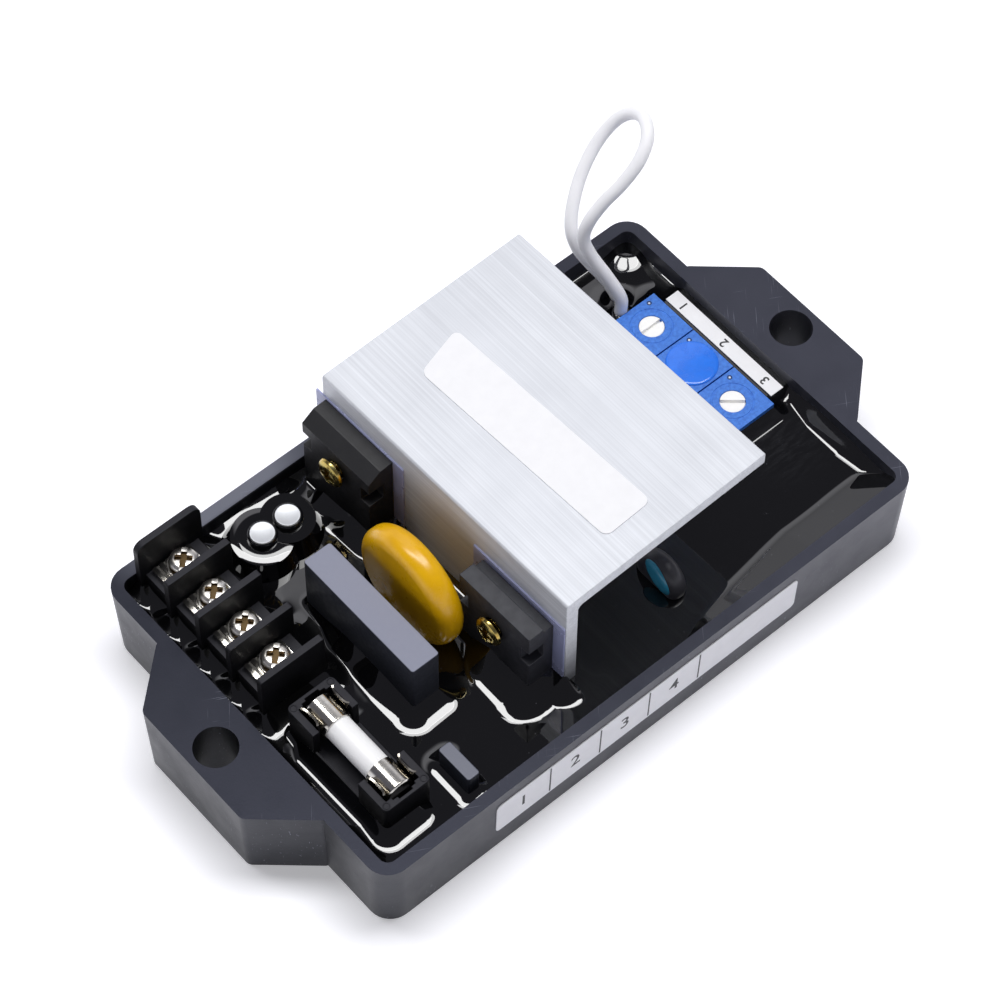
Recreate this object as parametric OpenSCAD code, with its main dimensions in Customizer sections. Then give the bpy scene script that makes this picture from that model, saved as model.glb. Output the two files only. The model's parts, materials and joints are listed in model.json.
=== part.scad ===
// Generator voltage regulator: a potted tray with a barrier terminal block, a fuse,
// power devices on an aluminium angle and three trimmers.
// +X runs from the terminal end to the trimmer end, +Y to the back, +Z up.
// The origin is the middle of the tray's underside.

/* [Tray] */
// Length of the rim, without the ears
tray_l = 111; // [109:0.5:130]
// Width of the rim
tray_w = 69.4; // [68.6:0.2:90]
// Height from underside to rim
tray_h = 16; // [14:0.5:20]
// Thickness of the side walls
tray_wall = 2.2; // [1.6:0.1:2.6]
// Thickness of the floor
tray_floor = 2.5; // [1.5:0.1:3.5]
// Outer corner radius
tray_corner_r = 4; // [2:0.5:6]
// Inner corner radius
cavity_corner_r = 1.6; // [0.8:0.1:3]
// How far the mould draft sets the underside in on each side
tray_draft = 0.5; // [0.1:0.1:1]
// How far each ear stands out from the wall
ear_reach = 9.3; // [9:0.1:14]
// Width of an ear at the wall
ear_root_w = 40.8; // [32:0.2:50]
// Width of an ear at its tip
ear_tip_w = 24.2; // [16:0.2:28]
// Rounding of the ear corners
ear_round = 1.5; // [0.5:0.1:3]
// Diameter of the mounting holes
hole_d = 7.2; // [5:0.1:8]
// Distance from the ear tip to the middle of its hole
hole_tip_gap = 4.8; // [4.6:0.1:7]

/* [Circuit board] */
// Thickness of the board
board_t = 1.6; // [1:0.1:2]
// Gap between the board's edge and the tray wall
board_gap = 2.3; // [0.5:0.1:4]
// Height of the posts that carry the board
post_h = 2.9; // [2:0.1:4]
// Diameter of those posts
post_d = 6; // [4:0.5:8]
// Distance from the board's edges to the middle of a post
post_inset = 4; // [3:0.5:8]

/* [Resin] */
// Depth of the resin over the board
resin_depth = 5; // [4:0.1:6]
// How high the resin climbs up a wall
climb_h = 1.8; // [0.6:0.1:2.2]
// How far out from a wall the climb starts
climb_reach = 2.2; // [1:0.1:3]
// Width of the foot of the climb's steep part
climb_knee = 0.7; // [0.3:0.1:0.9]
// Radius of the resin bead at each end of the wire
bead_r = 1.6; // [1.3:0.1:2.5]

/* [Terminal block] */
// Distance between terminals
pitch = 7.62; // [7.2:0.02:7.8]
// Thickness of a barrier
barrier_t = 1.2; // [0.8:0.1:1.4]
// Height of a barrier above the board
barrier_h = 16.5; // [15:0.5:20]
// Rounding of a barrier's upper corners
barrier_round = 0.4; // [0.2:0.1:2]
// Extra height of the end barrier
end_barrier_rise = 1.3; // [0.4:0.1:3]
// Rounding of the end barrier's upper corners
end_barrier_round = 1.7; // [0.4:0.1:2.4]
// How far a barrier stands out past the base, front and rear
barrier_overhang = 1; // [0.4:0.1:1.6]
// Depth of the base, front to rear
bay_depth = 10.4; // [10:0.1:11]
// Height of the bay floors above the board
bay_floor_h = 9.5; // [8:0.1:11]
// Gap between the block's front and the tray wall
block_front_gap = 3; // [1:0.1:4]
// Gap between the end barrier and the tray wall
block_side_gap = 0.3; // [0.2:0.1:2]
// Length of a contact plate
plate_l = 8.4; // [7.6:0.1:9.6]
// Width of a contact plate
plate_w = 5.6; // [5:0.1:5.8]
// Thickness of a contact plate
plate_t = 0.8; // [0.5:0.1:1.2]
// Height of the grip ribs on a plate
rib_h = 0.4; // [0.2:0.1:0.6]
// Width of a grip rib
rib_w = 0.7; // [0.4:0.1:0.9]
// Distance between grip ribs
rib_pitch = 1.3; // [1.1:0.1:2]
// Diameter of a captive washer
washer_d = 5.6; // [5.2:0.1:5.8]
// Thickness of a captive washer
washer_t = 0.6; // [0.4:0.1:0.8]
// Diameter of a terminal screw's head
screw_head_d = 4.8; // [4.4:0.1:5.4]
// Height of a terminal screw's head
screw_head_h = 1.8; // [1.4:0.1:2.2]
// Length of a terminal screw under its head
screw_l = 7; // [5:0.5:9]
// Diameter of the screw threads
screw_d = 3; // [2.5:0.1:3.2]
// Radial play round a screw
screw_play = 0.1; // [0.05:0.05:0.2]

/* [Fuse] */
// Length of the fuse
fuse_l = 20; // [19:0.2:21]
// Diameter of its end caps
fuse_cap_d = 5.2; // [5:0.1:5.6]
// Length of an end cap
fuse_cap_l = 5.2; // [4:0.1:6]
// Wall of an end cap
fuse_cap_wall = 0.3; // [0.2:0.05:0.4]
// Height of the fuse's axis above the board
fuse_axis_h = 10.4; // [9.5:0.1:12]
// Gap between the fuse's ends and the holder's end walls
fuse_end_gap = 0.4; // [0.2:0.1:1]
// Gap between a spring clip and the holder's side walls
clip_side_gap = 0.15; // [0.1:0.05:0.5]
// Height of the holder's base above the board
holder_base_h = 6.2; // [5.4:0.1:6.4]
// Height of the holder's end blocks above the board
holder_block_h = 12; // [11:0.1:13]
// Length of an end block
holder_block_l = 6.6; // [6:0.1:7.2]
// Thickness of an end block's side walls
holder_side_t = 1.3; // [1:0.1:1.5]
// Thickness of an end block's end wall
holder_end_t = 1.5; // [1:0.1:1.6]
// Rounding of the holder's outer corners
holder_round = 0.9; // [0.3:0.1:1.2]
// Width of the recess inside an end wall
holder_notch_w = 2.6; // [2:0.1:4]
// Depth of that recess from the top of the wall
holder_notch_h = 2.6; // [1:0.1:4]
// How much wider that recess is at its mouth, on each side
holder_step_w = 0.9; // [0.2:0.1:1.1]
// Thickness of the wall behind that recess
holder_skin_t = 0.6; // [0.4:0.1:0.9]
// Share of the row's free width that lies in front of the holder
holder_front_share = 0.62; // [0.3:0.01:0.8]
// Gap between the holder and the end wall
holder_end_gap = 4.7; // [3:0.1:5.5]
// Thickness of the spring clips
clip_t = 0.4; // [0.3:0.05:0.5]
// Width of a spring clip along the fuse
clip_w = 4; // [3:0.1:4.4]
// Half the mouth angle of a spring clip
clip_mouth = 52; // [40:1:65]
// Width of a clip's foot
clip_foot_w = 2.4; // [1.6:0.1:3]

/* [Capacitors and varistor] */
// Width of the large box capacitor
film_w = 5.4; // [5:0.1:6]
// Length of the large box capacitor
film_l = 26.3; // [24:0.1:30]
// Height of the large box capacitor
film_h = 17; // [14:0.5:20]
// Gap between the terminal block and the large box capacitor
film_gap = 6.1; // [4.5:0.1:7]
// Width of the small box capacitor
box_w = 2.4; // [2:0.1:3]
// Length of the small box capacitor
box_l = 7.2; // [6:0.1:8]
// Height of the small box capacitor
box_h = 10; // [8:0.5:12]
// Gap between the fuse holder and the small box capacitor
box_gap = 4.6; // [3:0.1:5]
// Gap between the small box capacitor and the front wall
box_front_gap = 2.6; // [2:0.1:4]
// Edge rounding of the box capacitors
box_round = 0.5; // [0.2:0.1:0.8]
// Diameter of the varistor
varistor_d = 21.5; // [18:0.5:22]
// Thickness of the varistor
varistor_t = 5; // [4:0.1:6]
// Height of the varistor's middle above the board
varistor_mid_h = 13; // [12:0.5:16]
// Offset of the varistor from the tray's centre line
varistor_y = 0.9; // [-1:0.1:2]
// Gap between the large box capacitor and the varistor
varistor_gap = 3.8; // [2:0.1:5]
// Diameter of an electrolytic can
can_d = 5; // [4:0.1:5.6]
// Height of an electrolytic can
can_h = 10.5; // [8:0.5:13]
// Gap between the two cans
can_gap = 0.1; // [0.05:0.05:0.6]
// Distance from the back wall to the cans
can_wall_gap = 7.8; // [5:0.1:9]
// Offset of the pair of cans from the large box capacitor's middle
can_shift = 0.7; // [-1:0.1:2]
// Diameter of the disc capacitor
disc_d = 9; // [7:0.1:10]
// Thickness of the disc capacitor
disc_t = 3; // [2:0.1:4]
// Height of the disc capacitor's middle above the board
disc_mid_h = 6; // [5:0.1:8]
// Distance of the disc capacitor from the heatsink leg
disc_x_gap = 23.5; // [10:0.5:28]
// Distance of the disc capacitor from the front wall
disc_wall_gap = 12.5; // [8:0.5:16]
// Share of a coated disc's half thickness that its rim rounding takes
disc_edge_share = 0.88; // [0.5:0.02:0.96]
// Diameter of the component leads
lead_d = 0.8; // [0.5:0.1:1]

/* [Heatsink and power devices] */
// Depth of the heatsink plate, from its leg to its free edge
sink_l = 41.5; // [36:0.5:46]
// Width of the heatsink plate along its leg
sink_w = 56.6; // [55:0.2:60]
// Thickness of the extrusion
sink_t = 2.4; // [2:0.1:3]
// Height of the plate's top above the board
sink_h = 28; // [26:0.5:32]
// Inside fillet of the extrusion
sink_fillet = 1; // [0.4:0.1:2]
// Outside rounding of the extrusion's bend
sink_round = 0.5; // [0.2:0.1:1]
// How far the heatsink is turned from square, in degrees
sink_turn = 1.2; // [0:0.1:1.5]
// Gap between the varistor and the heatsink's leg
sink_gap = 6.1; // [5.8:0.1:9]
// Gap between the leg's back end and the back wall
sink_wall_gap = 0.5; // [0.3:0.1:6]
// Width of a power device
device_w = 16; // [15:0.1:16.4]
// Thickness of a power device
device_t = 5; // [4.5:0.1:5.2]
// Height of a power device's body
device_h = 19.9; // [19:0.1:21]
// Distance from a device's top to its screw
device_hole_drop = 5.9; // [5:0.1:7]
// Gap under the rear device's body
device_rear_lift = 3.1; // [1:0.1:4]
// Gap under the front device's body
device_front_lift = 1.1; // [0.6:0.1:3]
// Distance from the plate's back edge to the rear device's middle
device_rear_inset = 9; // [8.6:0.1:12]
// Distance from the plate's front edge to the front device's middle
device_front_inset = 10.5; // [9:0.1:11.5]
// Width of the bevel on the rear device's top
device_bevel = 2.5; // [1:0.1:3]
// Depth of the side notches in a device
device_notch = 2; // [1:0.1:2.6]
// Height of those notches
device_notch_h = 3.4; // [2:0.1:4]
// Thickness of the metal back of a device
device_back_t = 2; // [1.5:0.1:2.4]
// Width of a device's legs
device_leg_w = 1.2; // [0.8:0.1:1.6]
// Distance between a device's legs
device_leg_pitch = 5.45; // [5:0.05:5.6]
// Thickness of the insulating sheets
sheet_t = 0.3; // [0.2:0.05:0.5]
// Width of the insulating sheets
sheet_w = 20.6; // [17:0.1:22]
// How far a sheet stands above its device
sheet_rise = 0.3; // [0:0.1:1.5]
// Gap under the insulating sheets
sheet_lift = 0.5; // [0.1:0.1:2]
// Diameter of a device screw's head
device_head_d = 5.4; // [5:0.1:6]
// Height of a device screw's head
device_head_h = 1.9; // [1.4:0.1:2.4]

/* [Trimmers] */
// Side of a trimmer's square housing
trimmer_w = 9.53; // [9.2:0.01:10]
// Height of the housing
trimmer_h = 4.8; // [4.4:0.1:5.4]
// Gap between neighbouring housings
trimmer_gap = 0.25; // [0.1:0.05:0.6]
// Height of the housing's underside above the board
trimmer_lift = 2.6; // [1.5:0.1:3]
// Gap between the housings and the end wall
trimmer_end_gap = 4.8; // [4.2:0.1:6]
// Offset of the row from the tray's centre line
trimmer_y = 6.1; // [2:0.1:8]
// Diameter of a rotor's face
rotor_d = 4.2; // [3.6:0.1:5]
// Depth of a rotor's face below the housing's top
rotor_drop = 0.1; // [0.05:0.05:0.3]
// Diameter of the flange that keeps a rotor in
rotor_flange_d = 6; // [5.4:0.1:7]
// Thickness of that flange
rotor_flange_t = 1.2; // [0.8:0.1:1.6]
// Diameter of the ring moulded round a rotor
ring_d = 7.2; // [6:0.1:8]
// Width of that ring
ring_w = 0.3; // [0.1:0.05:0.6]
// Depth of that ring
ring_depth = 0.1; // [0.05:0.05:0.3]
// Thickness of the housing over the flange
trimmer_roof_t = 0.9; // [0.6:0.1:1.2]
// Running play round a rotor
rotor_play = 0.08; // [0.05:0.01:0.1]
// Width of the driver slot in a rotor
slot_w = 0.6; // [0.4:0.1:0.9]
// Depth of the driver slot
slot_d = 0.7; // [0.4:0.1:0.9]
// Angle of the rear rotor's slot, in degrees
rotor_rear_angle = 0; // [-150:1:150]
// Angle of the front rotor's slot, in degrees
rotor_front_angle = -41; // [-150:1:150]
// Diameter of the lacquer that seals the middle trimmer
lacquer_d = 8.8; // [6:0.1:9]
// Thickness of that lacquer
lacquer_t = 0.6; // [0.3:0.1:1]

/* [Labels] */
// Thickness of the paper labels
label_t = 0.15; // [0.1:0.05:0.3]
// Corner radius of the labels
label_round = 1; // [0.3:0.1:1.3]
// Length of the label on the front wall
side_label_l = 62.6; // [40:0.2:80]
// Height of the label on the front wall
side_label_h = 8.2; // [6:0.1:10]
// Distance from the rim to the top of that label
side_label_drop = 2.8; // [1:0.1:4]
// Offset of that label from the tray's middle
side_label_x = -2.1; // [-6:0.1:6]
// Length of the label on the heatsink
sink_label_l = 42.6; // [30:0.2:48]
// Width of the label on the heatsink
sink_label_w = 9.6; // [6:0.1:14]
// Offset of that label from the plate's middle, towards the free edge
sink_label_x = -3.6; // [-6:0.1:6]
// Offset of that label from the plate's middle, towards the back
sink_label_y = -1.6; // [-3:0.1:3]
// How far that label is turned on the plate, in degrees
sink_label_turn = 1.3; // [-3:0.1:3]
// How far its back end is cut askew
sink_label_skew = 2.3; // [0:0.1:3]
// Length of the label strip beside the trimmers
strip_l = 25.5; // [20:0.1:28]
// Width of the label strip
strip_w = 2.7; // [2:0.1:3.4]
// Rise of the resin ledge under the strip
strip_rise = 1.5; // [0.5:0.1:1.8]

/* [Wire] */
// Diameter of the insulated wire
wire_d = 2.2; // [1.8:0.1:2.4]

/* [Hidden] */

// Facets of a full circle
round_fn = 48;
// Facets of the round corners of outlines
corner_fn = 32;
// Facets of thin round wires
small_fn = 16;
// Angle between the facets of small rounded corners
corner_step = 15;
// Overlap that makes a cut run clear of a face
cut = 0.01;

// Half sizes of the tray's cavity
in_x = tray_l / 2 - tray_wall;
in_y = tray_w / 2 - tray_wall;
hole_x = tray_l / 2 + ear_reach - hole_tip_gap;
draft_angle = atan(tray_draft / tray_h);

// Levels
board_z = tray_floor + post_h;
board_top = board_z + board_t;
resin_z = board_top + resin_depth;
board_l = 2 * (in_x - board_gap);
board_w = 2 * (in_y - board_gap);

// Screw heads
cross_share = 0.6;
crown_step = 30;

// Terminal block
ways = 4;
barrier_depth = bay_depth + 2 * barrier_overhang;
block_x = -in_x + block_front_gap + barrier_depth / 2;
block_l = ways * pitch + barrier_t;
block_back_y = in_y - block_side_gap;
bay_z = board_top + bay_floor_h;
washer_z = bay_z + plate_t + rib_h;
head_z = washer_z + washer_t;
screw_bore_r = screw_d / 2 + screw_play;
rib_count = floor((plate_l - rib_w) / rib_pitch) + 1;
function barrier_y(k) = block_back_y - barrier_t / 2 - k * pitch;
function bay_y(k) = barrier_y(k) - pitch / 2;

// Fuse
clip_play = 0.05;
clip_inner_r = fuse_cap_d / 2 + clip_play;
clip_outer_r = clip_inner_r + clip_t;
clip_steps = 10;
clip_lip = 1;
clip_flare = 0.6;
holder_w = 2 * (clip_outer_r + clip_side_gap + holder_side_t);
holder_l = fuse_l + 2 * (fuse_end_gap + holder_end_t);
holder_x = -in_x + holder_end_gap + holder_w / 2;
row_free_w = 2 * in_y - block_side_gap - block_l - holder_l;
holder_y = -in_y + row_free_w * holder_front_share + holder_l / 2;
holder_base_z = board_top + holder_base_h;
fuse_z = board_top + fuse_axis_h;
fuse_tube_d = fuse_cap_d - 2 * fuse_cap_wall;
holder_pocket_l = holder_block_l - holder_end_t;
holder_notch_l = holder_end_t - holder_skin_t;
clip_y = holder_l / 2 - holder_end_t - holder_pocket_l / 2;

// Resin
knee_share = 0.35;
trimmer_dry_h = 0.6;

// Width of a round disc where it goes into the resin
function chord(diameter, mid_h) =
    2 * sqrt(max(pow(lead_d, 2), pow(diameter / 2, 2) - pow(mid_h - resin_depth, 2)));

// Capacitors and varistor
film_x = block_x + barrier_depth / 2 + film_gap + film_w / 2;
box_x = holder_x + holder_w / 2 + box_gap + box_w / 2;
box_y = -in_y + box_front_gap + box_l / 2;
varistor_x = film_x + film_w / 2 + varistor_gap + varistor_t / 2;
varistor_lead_y = varistor_d / 4;
can_x = film_x + can_shift;
can_y = in_y - can_wall_gap;
can_step = can_d + can_gap;
can_lip = 0.3;
can_rim = 0.25;
can_dish = 0.2;

// Heatsink and power devices, in the heatsink's own turned frame
sink_x = varistor_x + varistor_t / 2 + sink_gap + sink_l / 2;
sink_y = in_y - sink_wall_gap - sink_w / 2 * cos(sink_turn) + sink_l / 2 * sin(sink_turn);
sink_top = board_top + sink_h;
leg_face = -sink_l / 2;
sheet_face = leg_face - sheet_t;
device_face = sheet_face - device_t;
device_rear_y = sink_w / 2 - device_rear_inset;
device_front_y = device_front_inset - sink_w / 2;
device_rear_z = board_top + device_rear_lift;
device_front_z = board_top + device_front_lift;
device_bevel_h = 1.7;
device_step = 1;
device_leg_t = 0.6;
device_leg_x = sheet_face - device_t / 2;
device_bore_r = screw_d / 2 + 3 * screw_play;
device_shank = device_t + sheet_t + sink_t;
disc_x = sink_x + leg_face + disc_x_gap + disc_t / 2;
disc_y = -in_y + disc_wall_gap;
disc_lead_y = disc_d / 4;

// Trimmers
trimmer_x = in_x - trimmer_end_gap - trimmer_w / 2;
trimmer_z = board_top + trimmer_lift;
trimmer_top = trimmer_z + trimmer_h;
trimmer_step = trimmer_w + trimmer_gap;
trimmer_row_l = 3 * trimmer_w + 2 * trimmer_gap;
rotor_end_play = 0.1;
flange_z = trimmer_top - trimmer_roof_t - rotor_end_play - rotor_flange_t;
pin_d = 0.8;
pin_spread = trimmer_w / 4;

// Labels
strip_x = in_x - trimmer_end_gap / 2;
strip_z = resin_z + strip_rise;
side_label_z = -side_label_drop - side_label_h / 2;

// Wire route, from one resin bead to the other
wire_foot_z = resin_z + climb_h;
wire_sides = 12;
wire_plane = [-0.92, 0.16, 0.36];
wire_rise = [[42.2, 21.8, 0], [42.2, 22, 3.7], [41, 24.2, 8.2], [39.6, 26.8, 12.7], [39.2, 28.2, 16.2],
             [40.3, 28.2, 19.7], [42.7, 27.6, 23.2], [45.8, 26.6, 26.7], [49, 26.4, 30],
             [51.9, 27.8, 32.2], [53.7, 30.6, 32.8], [54, 33.6, 31.2], [52.7, 36.1, 28],
             [49.5, 36.8, 24.4], [45.4, 35.8, 20.8], [41.6, 33.6, 17.4], [39.6, 31.6, 14.6],
             [39.6, 29.9, 11.4], [40.9, 28, 7.8], [42.6, 26, 4], [43.7, 24.2, 0]];
wire_route = [for (p = wire_rise) [p[0], p[1], p[2] + wire_foot_z]];

// Outlines and shapes that several pieces share

module round_rect(length, width, radius) {
    offset(r = radius, $fn = corner_fn) square([length - 2 * radius, width - 2 * radius], center = true);
}

module tray_plan() {
    tip_x = tray_l / 2 + ear_reach;
    union() {
        round_rect(tray_l, tray_w, tray_corner_r);
        offset(r = ear_round, $fn = corner_fn) offset(delta = -ear_round)
            polygon([[-tray_l / 2, ear_root_w / 2], [-tip_x, ear_tip_w / 2], [-tip_x, -ear_tip_w / 2],
                     [-tray_l / 2, -ear_root_w / 2], [tray_l / 2, -ear_root_w / 2], [tip_x, -ear_tip_w / 2],
                     [tip_x, ear_tip_w / 2], [tray_l / 2, ear_root_w / 2]]);
    }
}

module cavity_plan() {
    round_rect(2 * in_x, 2 * in_y, cavity_corner_r);
}

module at_posts() {
    for (sx = [-1, 1], sy = [-1, 1])
        translate([sx * (board_l / 2 - post_inset), sy * (board_w / 2 - post_inset), 0])
            children();
}

module barrier_profile(height, radius) {
    half = barrier_depth / 2;
    polygon(concat(
        [[-half, 0], [half, 0]],
        [for (a = [0:corner_step:90]) [half - radius, height - radius] + radius * [cos(a), sin(a)]],
        [for (a = [90:corner_step:180]) [radius - half, height - radius] + radius * [cos(a), sin(a)]]));
}

module coated_disc(diameter, thickness) {
    edge = thickness / 2 * disc_edge_share;
    rim = [diameter / 2 - edge, thickness / 2 - edge];
    rotate([0, 90, 0]) rotate_extrude($fn = round_fn)
        polygon(concat(
            [[0, -thickness / 2]],
            [for (a = [-90:corner_step:0]) [rim[0] + edge * cos(a), edge * sin(a) - rim[1]]],
            [for (a = [0:corner_step:90]) [rim[0] + edge * cos(a), edge * sin(a) + rim[1]]],
            [[0, thickness / 2]]));
}

module lead(top_z) {
    translate([0, 0, board_top]) cylinder(h = top_z - board_top, d = lead_d, $fn = small_fn);
}

module pan_head(diameter, height, slot_l) {
    crown_h = height / 2;
    flat_r = diameter / 4;
    crown_r = diameter / 2 - flat_r;
    recess_w = diameter / 5;
    recess_l = diameter * cross_share;
    recess_d = height * cross_share;
    difference() {
        rotate_extrude($fn = round_fn)
            polygon(concat([[0, 0]], [for (a = [0:crown_step:90])
                [flat_r + crown_r * cos(a), height - crown_h + crown_h * sin(a)]], [[0, height]]));
        for (turn = [0, 90])
            rotate([0, 0, turn]) translate([-recess_l / 2, -recess_w / 2, height - recess_d])
                cube([recess_l, recess_w, recess_d + cut]);
        translate([-slot_l / 2, -recess_w / 2, height - recess_d / 2])
            cube([slot_l, recess_w, recess_d + cut]);
    }
}

module in_sink_frame() {
    translate([sink_x, sink_y, 0]) rotate([0, 0, sink_turn]) children();
}

// Tray

module tray() {
    base_scale = [1 - 2 * tray_draft / tray_l, 1 - 2 * tray_draft / tray_w];
    color("#26272c") {
        difference() {
            translate([0, 0, tray_h]) mirror([0, 0, 1])
                linear_extrude(height = tray_h, scale = base_scale) tray_plan();
            translate([0, 0, tray_floor]) linear_extrude(height = tray_h) cavity_plan();
            for (side = [-1, 1])
                translate([side * hole_x, 0, -cut])
                    cylinder(h = tray_h + 2 * cut, d = hole_d, $fn = round_fn);
        }
        at_posts() translate([0, 0, tray_floor - cut]) cylinder(h = post_h + cut, d = post_d, $fn = round_fn);
    }
}

// Circuit board

module circuit_board() {
    color("#1f5a34") translate([-board_l / 2, -board_w / 2, board_z]) cube([board_l, board_w, board_t]);
}

// Resin

module climb(length, width, room = climb_h) {
    rise = min(climb_h, room);
    foot = [length + 2 * climb_reach, width + 2 * climb_reach];
    knee = [length + 2 * climb_knee, width + 2 * climb_knee];
    knee_h = rise * knee_share;
    translate([0, 0, resin_z - cut]) {
        linear_extrude(height = knee_h + cut, scale = [knee[0] / foot[0], knee[1] / foot[1]])
            round_rect(foot[0], foot[1], climb_reach);
        translate([0, 0, knee_h])
            linear_extrude(height = rise - knee_h, scale = [length / knee[0], width / knee[1]])
                round_rect(knee[0], knee[1], climb_knee);
    }
}

module wall_climb() {
    start_x = in_x - climb_reach;
    start_y = in_y - climb_reach;
    difference() {
        translate([0, 0, resin_z - cut]) linear_extrude(height = climb_h) cavity_plan();
        translate([0, 0, resin_z - 2 * cut])
            linear_extrude(height = climb_h + 2 * cut, scale = [in_x / start_x, in_y / start_y])
                square([2 * start_x, 2 * start_y], center = true);
    }
}

module climbs() {
    wall_climb();
    translate([block_x, block_back_y - block_l / 2, 0]) climb(barrier_depth, block_l);
    translate([holder_x, holder_y, 0]) climb(holder_w, holder_l);
    translate([box_x, box_y, 0]) climb(box_w, box_l);
    translate([film_x, 0, 0]) climb(film_w, film_l);
    translate([varistor_x, varistor_y, 0]) climb(varistor_t / 2, chord(varistor_d, varistor_mid_h));
    translate([can_x, can_y, 0]) climb(can_step + can_d, can_d);
    translate([disc_x, disc_y, 0]) climb(disc_t / 2, chord(disc_d, disc_mid_h));
    translate([trimmer_x, trimmer_y, 0])
        climb(trimmer_w, trimmer_row_l, trimmer_top - resin_z - trimmer_dry_h);
    in_sink_frame() {
        translate([leg_face + sink_t / 2, 0, 0]) climb(sink_t, sink_w);
        for (y = [device_rear_y, device_front_y])
            translate([sheet_face - device_t / 2, y, 0]) climb(device_t, device_w);
    }
}

module potting_resin() {
    ledge_l = in_x - trimmer_x - trimmer_w / 2;
    color("#0b0b0e") difference() {
        intersection() {
            translate([0, 0, tray_floor]) linear_extrude(height = tray_h) cavity_plan();
            union() {
                translate([0, 0, tray_floor]) linear_extrude(height = resin_z - tray_floor) cavity_plan();
                climbs();
                translate([trimmer_x + trimmer_w / 2, trimmer_y - strip_l / 2, resin_z - cut])
                    cube([ledge_l, strip_l, strip_rise + cut]);
                for (p = [wire_route[0], wire_route[len(wire_route) - 1]])
                    translate([p[0], p[1], resin_z - cut])
                        cylinder(h = climb_h + cut, r = bead_r, $fn = round_fn);
            }
        }
        at_posts() translate([0, 0, tray_floor - cut])
            cylinder(h = post_h + 2 * cut, d = post_d, $fn = round_fn);
        circuit_board();
        block_body();
        holder_prism(holder_block_h);
        film_capacitor();
        box_capacitor();
        varistor();
        electrolytic(-1);
        electrolytic(1);
        disc_capacitor();
        in_sink_frame() {
            sink_extrusion();
            device_body(device_rear_y, device_rear_z);
            device_body(device_front_y, device_front_z);
            insulator_sheet(device_rear_y, device_rear_z);
            insulator_sheet(device_front_y, device_front_z);
        }
        for (k = [-1, 0, 1])
            trimmer_housing(k);
    }
}

// Terminal block

module block_body() {
    translate([block_x, 0, board_top]) {
        translate([-bay_depth / 2, block_back_y - block_l, 0]) cube([bay_depth, block_l, bay_floor_h]);
        for (k = [0:ways])
            translate([0, barrier_y(k) + barrier_t / 2, 0]) rotate([90, 0, 0])
                linear_extrude(height = barrier_t)
                    barrier_profile(k == 0 ? barrier_h + end_barrier_rise : barrier_h,
                                    k == 0 ? end_barrier_round : barrier_round);
    }
}

module terminal_block() {
    color("#17171b") difference() {
        block_body();
        for (k = [0:ways - 1])
            translate([block_x, bay_y(k), head_z - screw_l - screw_play])
                cylinder(h = screw_l, r = screw_bore_r, $fn = round_fn);
    }
}

module terminal_plate(k) {
    color("#d6d6d2") translate([block_x, bay_y(k), bay_z]) difference() {
        union() {
            translate([-plate_l / 2, -plate_w / 2, 0]) cube([plate_l, plate_w, plate_t]);
            for (i = [0:rib_count - 1])
                translate([i * rib_pitch - plate_l / 2, -plate_w / 2, plate_t - cut])
                    cube([rib_w, plate_w, rib_h + cut]);
        }
        translate([0, 0, -cut]) cylinder(h = plate_t + rib_h + 2 * cut, r = screw_bore_r, $fn = round_fn);
    }
}

module terminal_washers() {
    color("#e0e0dc") for (k = [0:ways - 1])
        translate([block_x, bay_y(k), washer_z]) difference() {
            cylinder(h = washer_t, d = washer_d, $fn = round_fn);
            translate([0, 0, -cut]) cylinder(h = washer_t + 2 * cut, r = screw_bore_r, $fn = round_fn);
        }
}

module terminal_screws() {
    color("#e6e2da") for (k = [0:ways - 1])
        translate([block_x, bay_y(k), head_z]) {
            rotate([0, 0, 45]) pan_head(screw_head_d, screw_head_h, screw_head_d);
            translate([0, 0, -screw_l]) cylinder(h = screw_l + cut, d = screw_d, $fn = round_fn);
        }
}

// Fuse

module holder_plan() {
    corner = [holder_w / 2 - holder_round, holder_l / 2 - holder_round];
    polygon([for (quarter = [0:3], a = [0:corner_step:90])
        [corner[0] * (quarter == 0 || quarter == 3 ? 1 : -1), corner[1] * (quarter < 2 ? 1 : -1)]
        + holder_round * [cos(90 * quarter + a), sin(90 * quarter + a)]]);
}

module holder_prism(height) {
    translate([holder_x, holder_y, board_top]) linear_extrude(height = height) holder_plan();
}

module holder_recess(width, length, block_rise) {
    translate([-width / 2, holder_l / 2 - holder_end_t - cut, block_rise - holder_notch_h])
        cube([width, length + cut, holder_notch_h + cut]);
}

module holder_end_block() {
    pocket_w = holder_w - 2 * holder_side_t;
    block_rise = holder_block_h - holder_base_h;
    difference() {
        intersection() {
            translate([0, 0, -cut]) linear_extrude(height = block_rise + cut) holder_plan();
            translate([-holder_w / 2, holder_l / 2 - holder_block_l, -cut])
                cube([holder_w, holder_block_l, block_rise + 2 * cut]);
        }
        translate([-pocket_w / 2, holder_l / 2 - holder_block_l - cut, -2 * cut])
            cube([pocket_w, holder_pocket_l + cut, block_rise + 3 * cut]);
        holder_recess(holder_notch_w, holder_notch_l, block_rise);
        holder_recess(holder_notch_w + 2 * holder_step_w, holder_notch_l / 2, block_rise);
    }
}

module fuse_holder() {
    color("#1c1c20") {
        holder_prism(holder_base_h);
        translate([holder_x, holder_y, holder_base_z]) {
            holder_end_block();
            mirror([0, 1, 0]) holder_end_block();
        }
    }
}

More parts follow.
